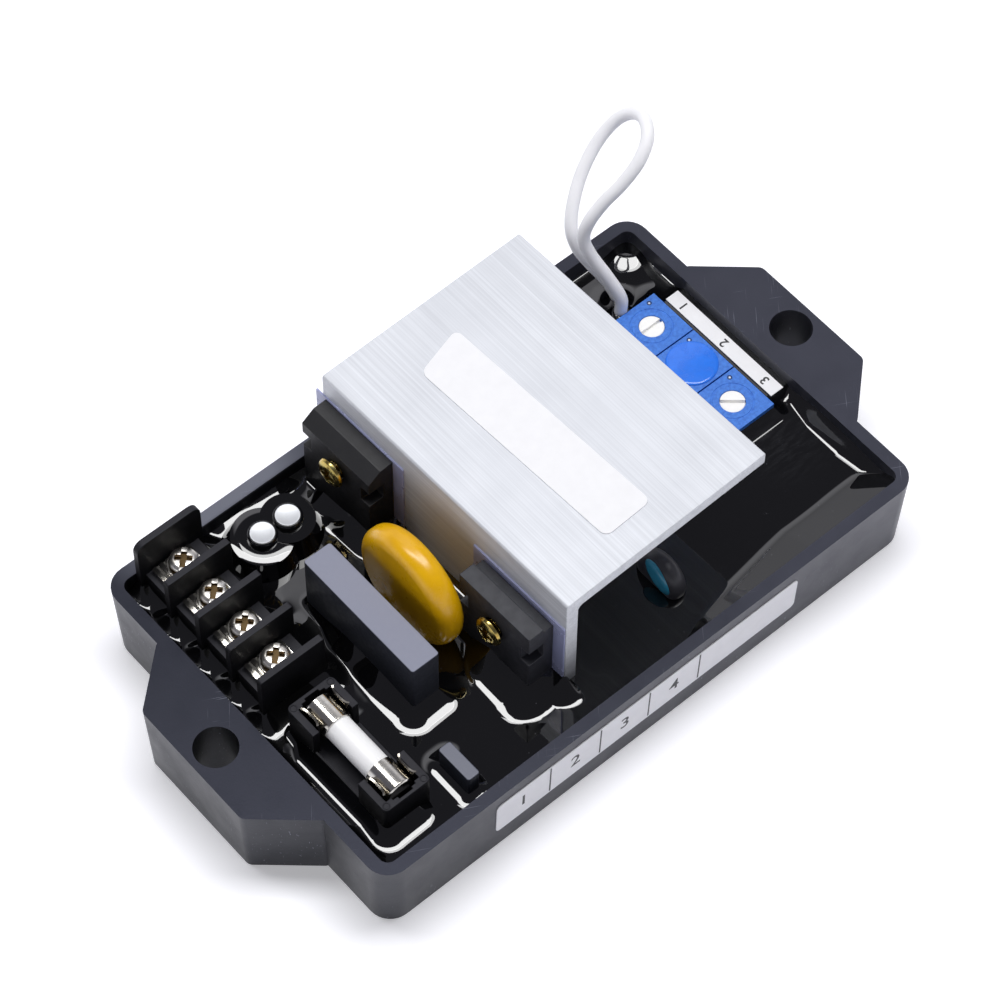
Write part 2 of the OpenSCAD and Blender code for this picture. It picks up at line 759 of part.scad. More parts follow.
module clip_profile() {
    foot_z = holder_base_z - fuse_z;
    foot_half = clip_foot_w / 2;
    foot_angle = asin(foot_half / clip_outer_r);
    bend = clip_outer_r * [sin(clip_mouth), cos(clip_mouth)];
    lip = bend + [clip_flare, clip_lip];
    arm = concat(
        [[foot_half, foot_z]],
        [for (i = [0:clip_steps])
            let (a = 180 - foot_angle - (180 - foot_angle - clip_mouth) * i / clip_steps)
            clip_outer_r * [sin(a), cos(a)]],
        [lip, lip - [clip_t, 0]],
        [for (i = [clip_steps:-1:1])
            let (a = 180 - (180 - clip_mouth) * i / clip_steps)
            clip_inner_r * [sin(a), cos(a)]]);
    polygon(concat(arm, [[0, -clip_inner_r]],
                   [for (i = [len(arm) - 1:-1:0]) [-arm[i][0], arm[i][1]]]));
}

module fuse_clip(side) {
    color("#cfcdc6") translate([holder_x, holder_y + side * clip_y + clip_w / 2, fuse_z])
        rotate([90, 0, 0]) linear_extrude(height = clip_w) clip_profile();
}

module fuse_tube() {
    tube_l = fuse_l - 2 * fuse_cap_wall;
    color("#f4f2ee") translate([holder_x, holder_y, fuse_z]) rotate([90, 0, 0])
        cylinder(h = tube_l, d = fuse_tube_d, center = true, $fn = round_fn);
}

module fuse_cap(side) {
    edge = 0.25;
    outer_r = fuse_cap_d / 2;
    inner_r = fuse_tube_d / 2;
    color("#d8d5cd") translate([holder_x, holder_y + side * fuse_l / 2, fuse_z]) rotate([side * 90, 0, 0])
        rotate_extrude($fn = round_fn)
            polygon([[0, 0], [outer_r - edge, 0], [outer_r, edge], [outer_r, fuse_cap_l],
                     [inner_r, fuse_cap_l], [inner_r, fuse_cap_wall], [0, fuse_cap_wall]]);
}

// Capacitors and varistor

module film_capacitor() {
    color("#5b6070") translate([film_x, 0, board_top])
        linear_extrude(height = film_h) round_rect(film_w, film_l, box_round);
}

module box_capacitor() {
    color("#4a4d58") translate([box_x, box_y, board_top])
        linear_extrude(height = box_h) round_rect(box_w, box_l, box_round);
}

module varistor() {
    mid_z = board_top + varistor_mid_h;
    color("#e2a012") translate([varistor_x, varistor_y, 0]) {
        translate([0, 0, mid_z]) coated_disc(varistor_d, varistor_t);
        for (side = [-1, 1])
            translate([0, side * varistor_lead_y, 0]) lead(mid_z - varistor_d / 4);
    }
}

module electrolytic(side) {
    r = can_d / 2;
    color("#e9e9e6") translate([can_x + side * can_step / 2, can_y, board_top])
        rotate_extrude($fn = round_fn)
            polygon([[0, 0], [r, 0], [r, can_h - can_lip], [r - can_lip, can_h],
                     [r - can_lip - can_rim, can_h], [r - can_lip - can_rim, can_h - can_dish],
                     [0, can_h - can_dish]]);
}

module disc_capacitor() {
    mid_z = board_top + disc_mid_h;
    color("#2f8f9c") translate([disc_x, disc_y, 0]) {
        translate([0, 0, mid_z]) coated_disc(disc_d, disc_t);
        for (side = [-1, 1])
            translate([0, side * disc_lead_y, 0]) lead(mid_z - disc_d / 4);
    }
}

// Heatsink and power devices

module sink_profile() {
    steps = 6;
    corner = [leg_face + sink_round, sink_top - sink_round];
    inside = [leg_face + sink_t + sink_fillet, sink_top - sink_t - sink_fillet];
    polygon(concat(
        [for (i = [0:steps]) corner + sink_round * [cos(180 - 90 * i / steps), sin(180 - 90 * i / steps)]],
        [[sink_l / 2, sink_top], [sink_l / 2, sink_top - sink_t]],
        [for (i = [0:steps]) inside + sink_fillet * [cos(90 + 90 * i / steps), sin(90 + 90 * i / steps)]],
        [[leg_face + sink_t, board_top], [leg_face, board_top]]));
}

module sink_extrusion() {
    translate([0, sink_w / 2, 0]) rotate([90, 0, 0]) linear_extrude(height = sink_w) sink_profile();
}

module device_bore(y, z, reach, radius) {
    translate([leg_face - reach, y, z + device_h - device_hole_drop]) rotate([0, 90, 0])
        cylinder(h = 2 * reach, r = radius, $fn = round_fn);
}

module heatsink() {
    far = 2 * device_shank;
    color("#c9cbce") in_sink_frame() difference() {
        sink_extrusion();
        device_bore(device_rear_y, device_rear_z, far, screw_bore_r);
        device_bore(device_front_y, device_front_z, far, screw_bore_r);
    }
}

module device_body(y, z) {
    translate([device_face, y - device_w / 2, z]) cube([device_t, device_w, device_h]);
    for (k = [-1, 0, 1])
        translate([device_leg_x - device_leg_t / 2, y + k * device_leg_pitch - device_leg_w / 2, board_top])
            cube([device_leg_t, device_leg_w, z - board_top + cut]);
}

module device_notches(y, z) {
    notch_z = z + device_h - device_hole_drop - device_notch_h / 2;
    front_t = device_t - device_back_t;
    for (side = [-1, 1])
        translate([device_face - cut, y + side * device_w / 2 - device_notch, notch_z])
            cube([front_t + cut, 2 * device_notch, device_notch_h]);
}

module power_device_rear() {
    top_z = device_rear_z + device_h;
    color("#1b1b1e") in_sink_frame() difference() {
        device_body(device_rear_y, device_rear_z);
        device_notches(device_rear_y, device_rear_z);
        device_bore(device_rear_y, device_rear_z, 2 * device_shank, device_bore_r);
        translate([0, device_rear_y + device_w / 2 + cut, 0]) rotate([90, 0, 0])
            linear_extrude(height = device_w + 2 * cut)
                polygon([[device_face - cut, top_z - device_bevel_h],
                         [device_face + device_bevel, top_z + cut],
                         [device_face - cut, top_z + cut]]);
    }
}

module power_device_front() {
    top_z = device_front_z + device_h;
    color("#2b2b30") in_sink_frame() difference() {
        device_body(device_front_y, device_front_z);
        device_notches(device_front_y, device_front_z);
        device_bore(device_front_y, device_front_z, 2 * device_shank, device_bore_r);
        translate([sheet_face - device_back_t, device_front_y - device_w / 2 - cut, top_z - device_step])
            cube([device_back_t + cut, device_w + 2 * cut, device_step + cut]);
    }
}

module insulator_sheet(y, z) {
    foot_z = board_top + sheet_lift;
    rim_z = tray_h + sheet_lift;
    low_end = min(y + sheet_w / 2, sink_w / 2);
    top_z = z + device_h + sheet_rise;
    translate([sheet_face, y - sheet_w / 2, foot_z])
        cube([sheet_t, low_end - y + sheet_w / 2, rim_z - foot_z + cut]);
    translate([sheet_face, y - sheet_w / 2, rim_z]) cube([sheet_t, sheet_w, top_z - rim_z]);
}

module insulator(y, z) {
    color("#c3c8e4") in_sink_frame() difference() {
        insulator_sheet(y, z);
        device_bore(y, z, 2 * device_shank, screw_bore_r);
    }
}

module device_screw(y, z) {
    translate([device_face, y, z + device_h - device_hole_drop]) {
        rotate([0, -90, 0]) pan_head(device_head_d, device_head_h, 0);
        translate([-cut, 0, 0]) rotate([0, 90, 0])
            cylinder(h = device_shank + cut, d = screw_d, $fn = round_fn);
    }
}

module device_screws() {
    color("#b99a4c") in_sink_frame() {
        device_screw(device_rear_y, device_rear_z);
        device_screw(device_front_y, device_front_z);
    }
}

// Trimmers

module at_trimmer(k) {
    translate([trimmer_x, trimmer_y + k * trimmer_step, 0]) children();
}

module trimmer_housing(k) {
    at_trimmer(k) {
        translate([-trimmer_w / 2, -trimmer_w / 2, trimmer_z]) cube([trimmer_w, trimmer_w, trimmer_h]);
        for (pin = [[-pin_spread, 0], [0, pin_spread], [pin_spread, 0]])
            translate([pin[0], pin[1], board_top])
                cylinder(h = trimmer_lift + cut, d = pin_d, $fn = small_fn);
    }
}

module trimmer_body(k) {
    chamber_z = flange_z - rotor_end_play;
    chamber_h = rotor_flange_t + 2 * rotor_end_play;
    color("#2f6fd6") difference() {
        trimmer_housing(k);
        at_trimmer(k) {
            translate([0, 0, chamber_z])
                cylinder(h = chamber_h, d = rotor_flange_d + 2 * rotor_play, $fn = round_fn);
            translate([0, 0, chamber_z + cut])
                cylinder(h = trimmer_top - chamber_z, d = rotor_d + 2 * rotor_play, $fn = round_fn);
            translate([0, 0, trimmer_top - ring_depth]) difference() {
                cylinder(h = ring_depth + cut, d = ring_d, $fn = round_fn);
                translate([0, 0, -cut])
                    cylinder(h = ring_depth + 3 * cut, d = ring_d - 2 * ring_w, $fn = round_fn);
            }
        }
    }
}

module trimmer_rotor(k, angle) {
    face_h = trimmer_top - rotor_drop - flange_z;
    color("#f2f0ea") at_trimmer(k) translate([0, 0, flange_z]) rotate([0, 0, angle]) difference() {
        union() {
            cylinder(h = rotor_flange_t, d = rotor_flange_d, $fn = round_fn);
            cylinder(h = face_h, d = rotor_d, $fn = round_fn);
        }
        translate([-rotor_d / 2 - cut, -slot_w / 2, face_h - slot_d])
            cube([rotor_d + 2 * cut, slot_w, slot_d + cut]);
    }
}

module sealing_lacquer() {
    r = lacquer_d / 2;
    lacquer_edge = lacquer_t / 2;
    color("#3f86ee") at_trimmer(0) translate([0, 0, trimmer_top])
        rotate_extrude($fn = round_fn)
            polygon(concat([[0, 0]], [for (a = [0:crown_step / 2:90])
                [r - lacquer_t * (1 - cos(a)), lacquer_edge * sin(a)]], [[0, lacquer_t]]));
}

// Labels

module trimmer_label() {
    color("#f5f5f3") translate([strip_x - strip_w / 2, trimmer_y - strip_l / 2, strip_z])
        cube([strip_w, strip_l, label_t]);
}

module side_label() {
    color("#f5f5f3") translate([side_label_x, -tray_w / 2, tray_h]) rotate([draft_angle, 0, 0])
        translate([0, 0, side_label_z]) rotate([90, 0, 0])
            linear_extrude(height = label_t) round_rect(side_label_l, side_label_h, label_round);
}

module heatsink_label() {
    half_w = sink_label_w / 2;
    half_l = sink_label_l / 2;
    lean = sink_label_skew / 2;
    color("#f5f5f3") in_sink_frame() translate([sink_label_x, sink_label_y, sink_top])
        rotate([0, 0, sink_label_turn]) linear_extrude(height = label_t)
            polygon([[-half_w, -half_l], [half_w, -half_l],
                     [half_w, half_l + lean], [-half_w, half_l - lean]]);
}

// Wire

function unit(v) = v / norm(v);
function wire_way(i) =
    i == 0 ? [0, 0, 1]
    : i == len(wire_route) - 1 ? [0, 0, -1]
    : unit(wire_route[i + 1] - wire_route[i - 1]);
function wire_ring(i) =
    let (way = wire_way(i),
         side = unit(wire_plane - (wire_plane * way) * way),
         over = cross(way, side))
    [for (j = [0:wire_sides - 1])
        wire_route[i] + wire_d / 2 * (cos(360 * j / wire_sides) * side + sin(360 * j / wire_sides) * over)];

module jumper_wire() {
    rings = len(wire_route);
    skin = [for (i = [0:rings - 2], j = [0:wire_sides - 1])
        let (a = i * wire_sides + j, b = i * wire_sides + (j + 1) % wire_sides)
        each [[a, a + wire_sides, b], [b, a + wire_sides, b + wire_sides]]];
    ends = [[for (j = [0:wire_sides - 1]) j],
            [for (j = [wire_sides - 1:-1:0]) (rings - 1) * wire_sides + j]];
    color("#f3f3f5") polyhedron([for (i = [0:rings - 1]) each wire_ring(i)], concat(skin, ends));
}

tray();
potting_resin();
circuit_board();
terminal_block();
terminal_plate(0);  // terminal_plate_1
terminal_plate(1);  // terminal_plate_2
terminal_plate(2);  // terminal_plate_3
terminal_plate(3);  // terminal_plate_4
terminal_washers();
terminal_screws();
fuse_holder();
fuse_clip(1);  // fuse_clip_rear
fuse_clip(-1);  // fuse_clip_front
fuse_tube();
fuse_cap(1);  // fuse_cap_rear
fuse_cap(-1);  // fuse_cap_front
film_capacitor();
box_capacitor();
varistor();
electrolytic(-1);  // electrolytic_left
electrolytic(1);  // electrolytic_right
disc_capacitor();
heatsink();
power_device_rear();
power_device_front();
insulator(device_rear_y, device_rear_z);  // insulator_rear
insulator(device_front_y, device_front_z);  // insulator_front
device_screws();
trimmer_body(1);  // trimmer_body_rear
trimmer_body(0);  // trimmer_body_middle
trimmer_body(-1);  // trimmer_body_front
trimmer_rotor(1, rotor_rear_angle);  // trimmer_rotor_rear
trimmer_rotor(0, rotor_rear_angle);  // trimmer_rotor_middle
trimmer_rotor(-1, rotor_front_angle);  // trimmer_rotor_front
sealing_lacquer();
trimmer_label();
side_label();
heatsink_label();
jumper_wire();
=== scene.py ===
"""Looks of a potted generator voltage regulator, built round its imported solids.

Every length in this file is in millimetres until it reaches a mesh, which is in metres.
The frame is the part's own: +X from the terminal end to the trimmer end, +Y to the back, +Z up.
"""

import json
import logging
import math
from dataclasses import dataclass
from enum import Enum
from typing import Any, Callable, Sequence

import bmesh
import bpy
import numpy as np
from mathutils import Matrix, Vector


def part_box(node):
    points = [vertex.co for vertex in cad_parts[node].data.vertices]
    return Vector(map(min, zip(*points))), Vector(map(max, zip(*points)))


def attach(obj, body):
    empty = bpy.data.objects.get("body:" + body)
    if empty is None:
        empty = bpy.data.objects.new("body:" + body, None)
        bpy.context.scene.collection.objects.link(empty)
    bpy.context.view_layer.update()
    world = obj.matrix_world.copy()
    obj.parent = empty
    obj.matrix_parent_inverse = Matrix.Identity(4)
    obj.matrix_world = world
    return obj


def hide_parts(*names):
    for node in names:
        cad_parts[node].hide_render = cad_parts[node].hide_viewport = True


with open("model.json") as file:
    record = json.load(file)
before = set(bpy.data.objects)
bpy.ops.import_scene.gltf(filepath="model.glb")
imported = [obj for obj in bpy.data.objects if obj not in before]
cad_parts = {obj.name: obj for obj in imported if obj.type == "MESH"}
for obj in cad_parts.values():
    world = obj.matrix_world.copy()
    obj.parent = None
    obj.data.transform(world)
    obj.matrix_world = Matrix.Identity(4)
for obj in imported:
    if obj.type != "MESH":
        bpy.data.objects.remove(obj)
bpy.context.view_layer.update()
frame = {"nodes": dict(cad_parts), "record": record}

MM = 0.001
LOG = logging.getLogger("regulator")

NODE_BODY = {n: body for body, nodes in frame["record"]["behaviour"]["bodies"].items() for n in nodes}
TRIMMER_PLACES = ("rear", "middle", "front")

Pair = tuple[float, float]
Point = tuple[float, float, float]
Colour = tuple[float, float, float, float]
Inputs = dict[str | int, Any]
Socket = bpy.types.NodeSocket
Piece = bpy.types.Object
Form = bmesh.types.BMesh
Grid = np.ndarray

WHITE: Colour = (1.0, 1.0, 1.0, 1.0)
# Where a Mix node has its two colours among its inputs, and the mixed one among its outputs
MIX_FIRST, MIX_SECOND, MIX_OUT = 6, 7, 2
# Noise values lie between these, with few beyond
NOISE_SPREAD: Pair = (0.3, 0.7)
NOISE_ROUGHNESS = 0.6
# Dust and painted sheen begin, and are full, at these shares of upward slope
DUST_AND_SHEEN_SLOPE: Pair = (0.55, 0.95)
# Points of a solid's mesh closer than this are one, and faces that bend less than this are one
WELD = 0.0005
FLAT_DEG = 0.5
# Edges that bend more than this are rounded
CREASE_DEG = 28.0
# An outline's point with a smaller radius than this lies on the axis
ON_AXIS = 1e-6
# Edges that bend more than this are shaded sharp
SMOOTH_DEG = 40.0


class Axis(Enum):
    """The axis along which a grain or a round piece runs."""

    X = 0
    Y = 1
    Z = 2


def srgb(code: str) -> Colour:
    """Turn an sRGB hex value into a linear colour.

    Args:
        code: Six hex digits after a hash sign.

    Returns:
        Linear red, green, blue and an alpha of one.
    """
    levels = [int(code[i:i + 2], 16) / 255 for i in (1, 3, 5)]
    red, green, blue = [v / 12.92 if v <= 0.04045 else ((v + 0.055) / 1.055) ** 2.4 for v in levels]
    return red, green, blue, 1.0


class Canvas:
    """The nodes of a material or world, and the coordinates that its patterns lie in."""

    def __init__(self, owner: bpy.types.Material | bpy.types.World, coordinates: str = "Object") -> None:
        """Clear the owner's nodes and take one kind of coordinates.

        Args:
            owner: The material or world.
            coordinates: The name of the coordinates.
        """
        owner.use_nodes = True
        self.tree = owner.node_tree
        self.tree.nodes.clear()
        self.place = self.add_node("TexCoord", (), coordinates)

    def add_node(self, kind: str, inputs: Inputs | Sequence[Any] = (), out: str | int = 0,
                 **settings: Any) -> Socket | None:
        """Add a shader node with its settings, values and links.

        Args:
            kind: The node's type name, after the words that all shader nodes share.
            inputs: Values, or output sockets to link, in the inputs' order or by name or number.
            out: The output that is wanted, by name or number.
            settings: Properties of the node itself.

        Returns:
            That output, or None for a node without outputs.
        """
        node = self.tree.nodes.new(f"ShaderNode{kind}")
        for name, value in settings.items():
            setattr(node, name, value)
        for key, value in inputs.items() if isinstance(inputs, dict) else enumerate(inputs):
            if isinstance(value, Socket):
                self.tree.links.new(value, node.inputs[key])
            else:
                node.inputs[key].default_value = value
        return node.outputs[out] if node.outputs else None

    def noise(self, size_mm: float, stretch: Point = (1.0, 1.0, 1.0), detail: float = 4.0,
              place: Socket | None = None) -> Socket:
        """Add a noise pattern of a real size.

        Args:
            size_mm: The size of one blotch.
            stretch: How many times longer the blotches are along each axis.
            detail: The number of finer layers.
            place: Coordinates other than the canvas's own.

        Returns:
            The noise value, about 0.5 in the middle.
        """
        scale = [1 / (size_mm * MM * along) for along in stretch]
        source = self.place if place is None else place
        mapped = self.add_node("Mapping", {"Vector": source, "Scale": scale})
        return self.add_node("TexNoise", {"Vector": mapped, "Scale": 1.0, "Detail": detail,
                                          "Roughness": NOISE_ROUGHNESS})


@dataclass(frozen=True)
class Finish:
    """A surface finish: a base colour with mottle, uneven gloss and a fine relief.

    The pattern sizes are real ones. Relief is the depth of the grain.
    """

    name: str
    colour: str
    roughness: float
    shade: str = "#000000"
    metallic: float = 0.0
    ior: float = 1.5
    mottle: float = 0.25
    mottle_mm: float = 4.0
    gloss_spread: float = 0.06
    grain_mm: float = 0.4
    grain_detail: float = 2.0
    relief_mm: float = 0.004
    coat: float = 0.0
    coat_roughness: float = 0.1
    transmission: float = 0.0
    subsurface: float = 0.0
    specular: float = 0.5
    gloss_tint: str = "#ffffff"
    # A paler tone on the faces that look up: dust, and painted sheen on the boxes' tops
    dust_and_sheen: str = ""
    dust_and_sheen_share: float = 0.9

    def material(self) -> bpy.types.Material:
        """Make the material, or return it if it was made before.

        Returns:
            The material, with all its nodes.
        """
        made = bpy.data.materials.get(self.name)
        if made is not None:
            return made
        material = bpy.data.materials.new(self.name)
        canvas = Canvas(material)
        values: Inputs = {"Metallic": self.metallic, "Coat Weight": self.coat,
                          "Coat Roughness": self.coat_roughness, "Transmission Weight": self.transmission,
                          "Subsurface Weight": self.subsurface, "Specular IOR Level": self.specular,
                          "Specular Tint": srgb(self.gloss_tint)}
        if not self.metallic:
            values["IOR"] = self.ior
        if self.subsurface:
            values["Subsurface Scale"] = MM
            values["Subsurface Radius"] = (1.0, 1.0, 1.0)
        values.update(self.pattern(canvas))
        if self.dust_and_sheen:
            values["Base Color"] = self.dusted_and_sheened(canvas, values["Base Color"])
        canvas.add_node("OutputMaterial", (canvas.add_node("BsdfPrincipled", values),))
        return material

    @property
    def gloss_range(self) -> Pair:
        """The lowest and the highest roughness."""
        return self.roughness - self.gloss_spread, self.roughness + self.gloss_spread

    def layered(self, canvas: Canvas, colour: Any, *layers: tuple[Socket, str]) -> Any:
        """Lay tones over a colour.

        Args:
            canvas: The material's nodes.
            colour: The colour under them.
            layers: The share and the tone of each layer, from the lowest up.

        Returns:
            The colour that shows.
        """
        for share, tone in layers:
            mixed = {0: share, MIX_FIRST: colour, MIX_SECOND: srgb(tone)}
            colour = canvas.add_node("Mix", mixed, MIX_OUT, data_type="RGBA")
        return colour

    def dusted_and_sheened(self, canvas: Canvas, bare_tone: Socket) -> Socket:
        """Lay fine dust, and painted sheen, as one paler tone on the faces that look up.

        Args:
            canvas: The material's nodes.
            bare_tone: The colour without dust.

        Returns:
            The colour with dust and painted sheen.
        """
        normal = canvas.add_node("NewGeometry", (), "Normal")
        up = canvas.add_node("SeparateXYZ", (normal,), "Z")
        share = canvas.add_node("MapRange", (up, *DUST_AND_SHEEN_SLOPE, 0.0, self.dust_and_sheen_share))
        return self.layered(canvas, bare_tone, (share, self.dust_and_sheen))

    def pattern(self, canvas: Canvas) -> Inputs:
        """Make the colour, roughness and normal of the surface.

        Args:
            canvas: The material's nodes.

        Returns:
            Inputs for the shader, by name.
        """
        blotch = canvas.noise(self.mottle_mm)
        grain = canvas.noise(self.grain_mm, detail=self.grain_detail)
        share = canvas.add_node("MapRange", (blotch, *NOISE_SPREAD, 0.0, self.mottle))
        return {
            "Base Color": self.layered(canvas, srgb(self.colour), (share, self.shade)),
            "Roughness": canvas.add_node("MapRange", (blotch, *NOISE_SPREAD, *self.gloss_range)),
            "Normal": canvas.add_node("Bump", {"Height": grain, "Distance": self.relief_mm * MM}),
        }


@dataclass(frozen=True)
class ScuffedPlastic(Finish):
    """Moulded plastic with pale scratches, painted light that makes it paler along X, and a painted highlight
    on the rear rim.
    """

    scuff: str = "#8f92a0"
    scratch_mm: float = 0.16
    scratch_stretch: Point = (60.0, 1.0, 8.0)
    scratch_turns: Pair = (0.5, -0.9)
    scratch_level: Pair = (0.72, 0.78)
    patch_mm: float = 14.0
    patch_span: Pair = (-0.9, 1.0)
    # Painted light: the tone grows paler along X over this span, towards the trimmer end
    far: str = "#36373f"
    span_mm: Pair = (-58.0, 58.0)
    # A painted highlight on the rear rim's top, where these spans of X, Y and Z meet
    rim_highlight: str = "#6a6c75"
    rim_highlight_mm: tuple[tuple[str, float, float], ...] = (
        ("X", -8.0, -22.0), ("X", -54.0, -42.0), ("Y", 31.0, 33.0), ("Z", 15.3, 15.8))

    def pattern(self, canvas: Canvas) -> Inputs:
        """Paint light that makes the tone paler along X, paint a highlight on the rear rim and add scratches,
        thin noise bands in two directions.

        Args:
            canvas: The material's nodes.

        Returns:
            Inputs for the shader, by name.
        """
        values = super().pattern(canvas)
        spot = canvas.add_node("SeparateXYZ", (canvas.place,)).node.outputs
        # Painted light, paler towards the trimmer end
        fade = canvas.add_node("MapRange", (spot["X"], *(edge * MM for edge in self.span_mm)))
        # Painted highlight on the rear rim
        rim_highlight_share: Any = 1.0
        for name, start, end in self.rim_highlight_mm:
            share = canvas.add_node("MapRange", (spot[name], start * MM, end * MM))
            rim_highlight_share = canvas.add_node("Math", (rim_highlight_share, share), operation="MULTIPLY")
        patch = canvas.add_node("MapRange", (canvas.noise(self.patch_mm), *NOISE_SPREAD, *self.patch_span))
        lines = []
        for angle in self.scratch_turns:
            turned = canvas.add_node("Mapping", {"Vector": canvas.place, "Rotation": (0.0, 0.0, angle)})
            line = canvas.noise(self.scratch_mm, self.scratch_stretch, 1.0, turned)
            lines.append(canvas.add_node("MapRange", (line, *self.scratch_level)))
        marks = canvas.add_node("Math", lines, operation="MAXIMUM")
        marks = canvas.add_node("Math", (marks, patch), operation="MULTIPLY", use_clamp=True)
        layers = (fade, self.far), (rim_highlight_share, self.rim_highlight), (marks, self.scuff)
        values["Base Color"] = self.layered(canvas, values["Base Color"], *layers)
        return values


@dataclass(frozen=True)
class CastResin(Finish):
    """Casting resin: a mirror-like black surface with dust specks and one wiped smear."""

    speck: str = "#8d8f96"
    speck_mm: float = 2.6
    speck_r: float = 0.05
    speck_share: float = 0.4
    smear_at: Point = (45.0, -14.0, 12.0)
    smear_r: float = 9.0
    smear_share: float = 0.04
    smear_rough: float = 0.1
    streak_mm: float = 0.7
    streak_stretch: Point = (5.0, 1.0, 1.0)
    streak_span: Pair = (-0.6, 1.0)

    def pattern(self, canvas: Canvas) -> Inputs:
        """Add sparse dust and the smear, which is rough and pale, to the plain pattern.

        Args:
            canvas: The material's nodes.

        Returns:
            Inputs for the shader, by name.
        """
        values = super().pattern(canvas)
        cells = canvas.add_node("TexVoronoi", {"Vector": canvas.place, "Scale": 1 / (self.speck_mm * MM)})
        speck = canvas.add_node("MapRange", (cells, 0.0, self.speck_r, self.speck_share, 0.0))
        centre = [v * MM for v in self.smear_at]
        away = canvas.add_node("VectorMath", (canvas.place, centre), "Value", operation="DISTANCE")
        near = canvas.add_node("MapRange", (away, 0.0, self.smear_r * MM, 1.0, 0.0))
        grain = canvas.noise(self.streak_mm, self.streak_stretch)
        streak = canvas.add_node("MapRange", (grain, *NOISE_SPREAD, *self.streak_span))
        smear = canvas.add_node("Math", (near, streak), operation="MULTIPLY", use_clamp=True)
        thin = canvas.add_node("Math", (smear, self.smear_share), operation="MULTIPLY")
        layers = (thin, self.speck), (speck, self.speck)
        values["Base Color"] = self.layered(canvas, values["Base Color"], *layers)
        rough = smear, self.smear_rough, values["Roughness"]
        values["Roughness"] = canvas.add_node("Math", rough, operation="MULTIPLY_ADD")
        return values


@dataclass(frozen=True)
class BrushedMetal(Finish):
    """Extruded metal whose die lines run along one axis."""

    along: Axis = Axis.Y
    line_mm: float = 0.35
    coarse_times: float = 7.0
    line_length: float = 220.0
    line_depth_mm: float = 0.006
    line_level: Pair = (0.12, 0.42)
    streak_base: float = 0.25

    def pattern(self, canvas: Canvas) -> Inputs:
        """Draw fine and coarse die lines as colour, roughness and relief.

        Args:
            canvas: The material's nodes.

        Returns:
            Inputs for the shader, by name.
        """
        stretch = tuple(self.line_length if axis is self.along else 1.0 for axis in Axis)
        fine = canvas.noise(self.line_mm, stretch, 3.0)
        coarse = canvas.noise(self.line_mm * self.coarse_times, stretch, 2.0)
        cloud = canvas.noise(self.mottle_mm)
        bands = canvas.add_node("Math", (fine, coarse), operation="MULTIPLY")
        streak = canvas.add_node("Math", (coarse, cloud, self.streak_base), operation="MULTIPLY_ADD")
        share = canvas.add_node("MapRange", (bands, *self.line_level, self.mottle, 0.0))
        return {
            "Base Color": self.layered(canvas, srgb(self.colour), (share, self.shade)),
            "Roughness": canvas.add_node("MapRange", (streak, *NOISE_SPREAD, *self.gloss_range)),
            "Normal": canvas.add_node("Bump", {"Height": bands, "Distance": self.line_depth_mm * MM}),
        }


@dataclass(frozen=True)
class PlatedMetal(Finish):
    """Plated or passivated metal with a drifting tint and fine polishing marks."""

    metallic: float = 1.0
    grain_mm: float = 0.3
    tint: str = "#b9a98c"
    # Painted shade: a tone for all that lies below a height, such as a recess
    deep: str = ""
    deep_z: Pair = (0.0, 1.0)

    def pattern(self, canvas: Canvas) -> Inputs:
        """Let the tint drift over the plain pattern, and paint shade on what lies below a height.

        Args:
            canvas: The material's nodes.

        Returns:
            Inputs for the shader, by name.
        """
        values = super().pattern(canvas)
        drift = canvas.noise(self.mottle_mm / 2)
        share = canvas.add_node("MapRange", (drift, *NOISE_SPREAD, 0.0, self.mottle))
        values["Base Color"] = self.layered(canvas, srgb(self.colour), (share, self.tint))
        # Painted shade below a height
        if self.deep:
            height = canvas.add_node("SeparateXYZ", (canvas.place,), "Z")
            bare_tone = canvas.add_node("MapRange", (height, *(edge * MM for edge in self.deep_z)))
            mixed = {0: bare_tone, MIX_FIRST: srgb(self.deep), MIX_SECOND: values["Base Color"]}
            values["Base Color"] = canvas.add_node("Mix", mixed, MIX_OUT, data_type="RGBA")
        return values


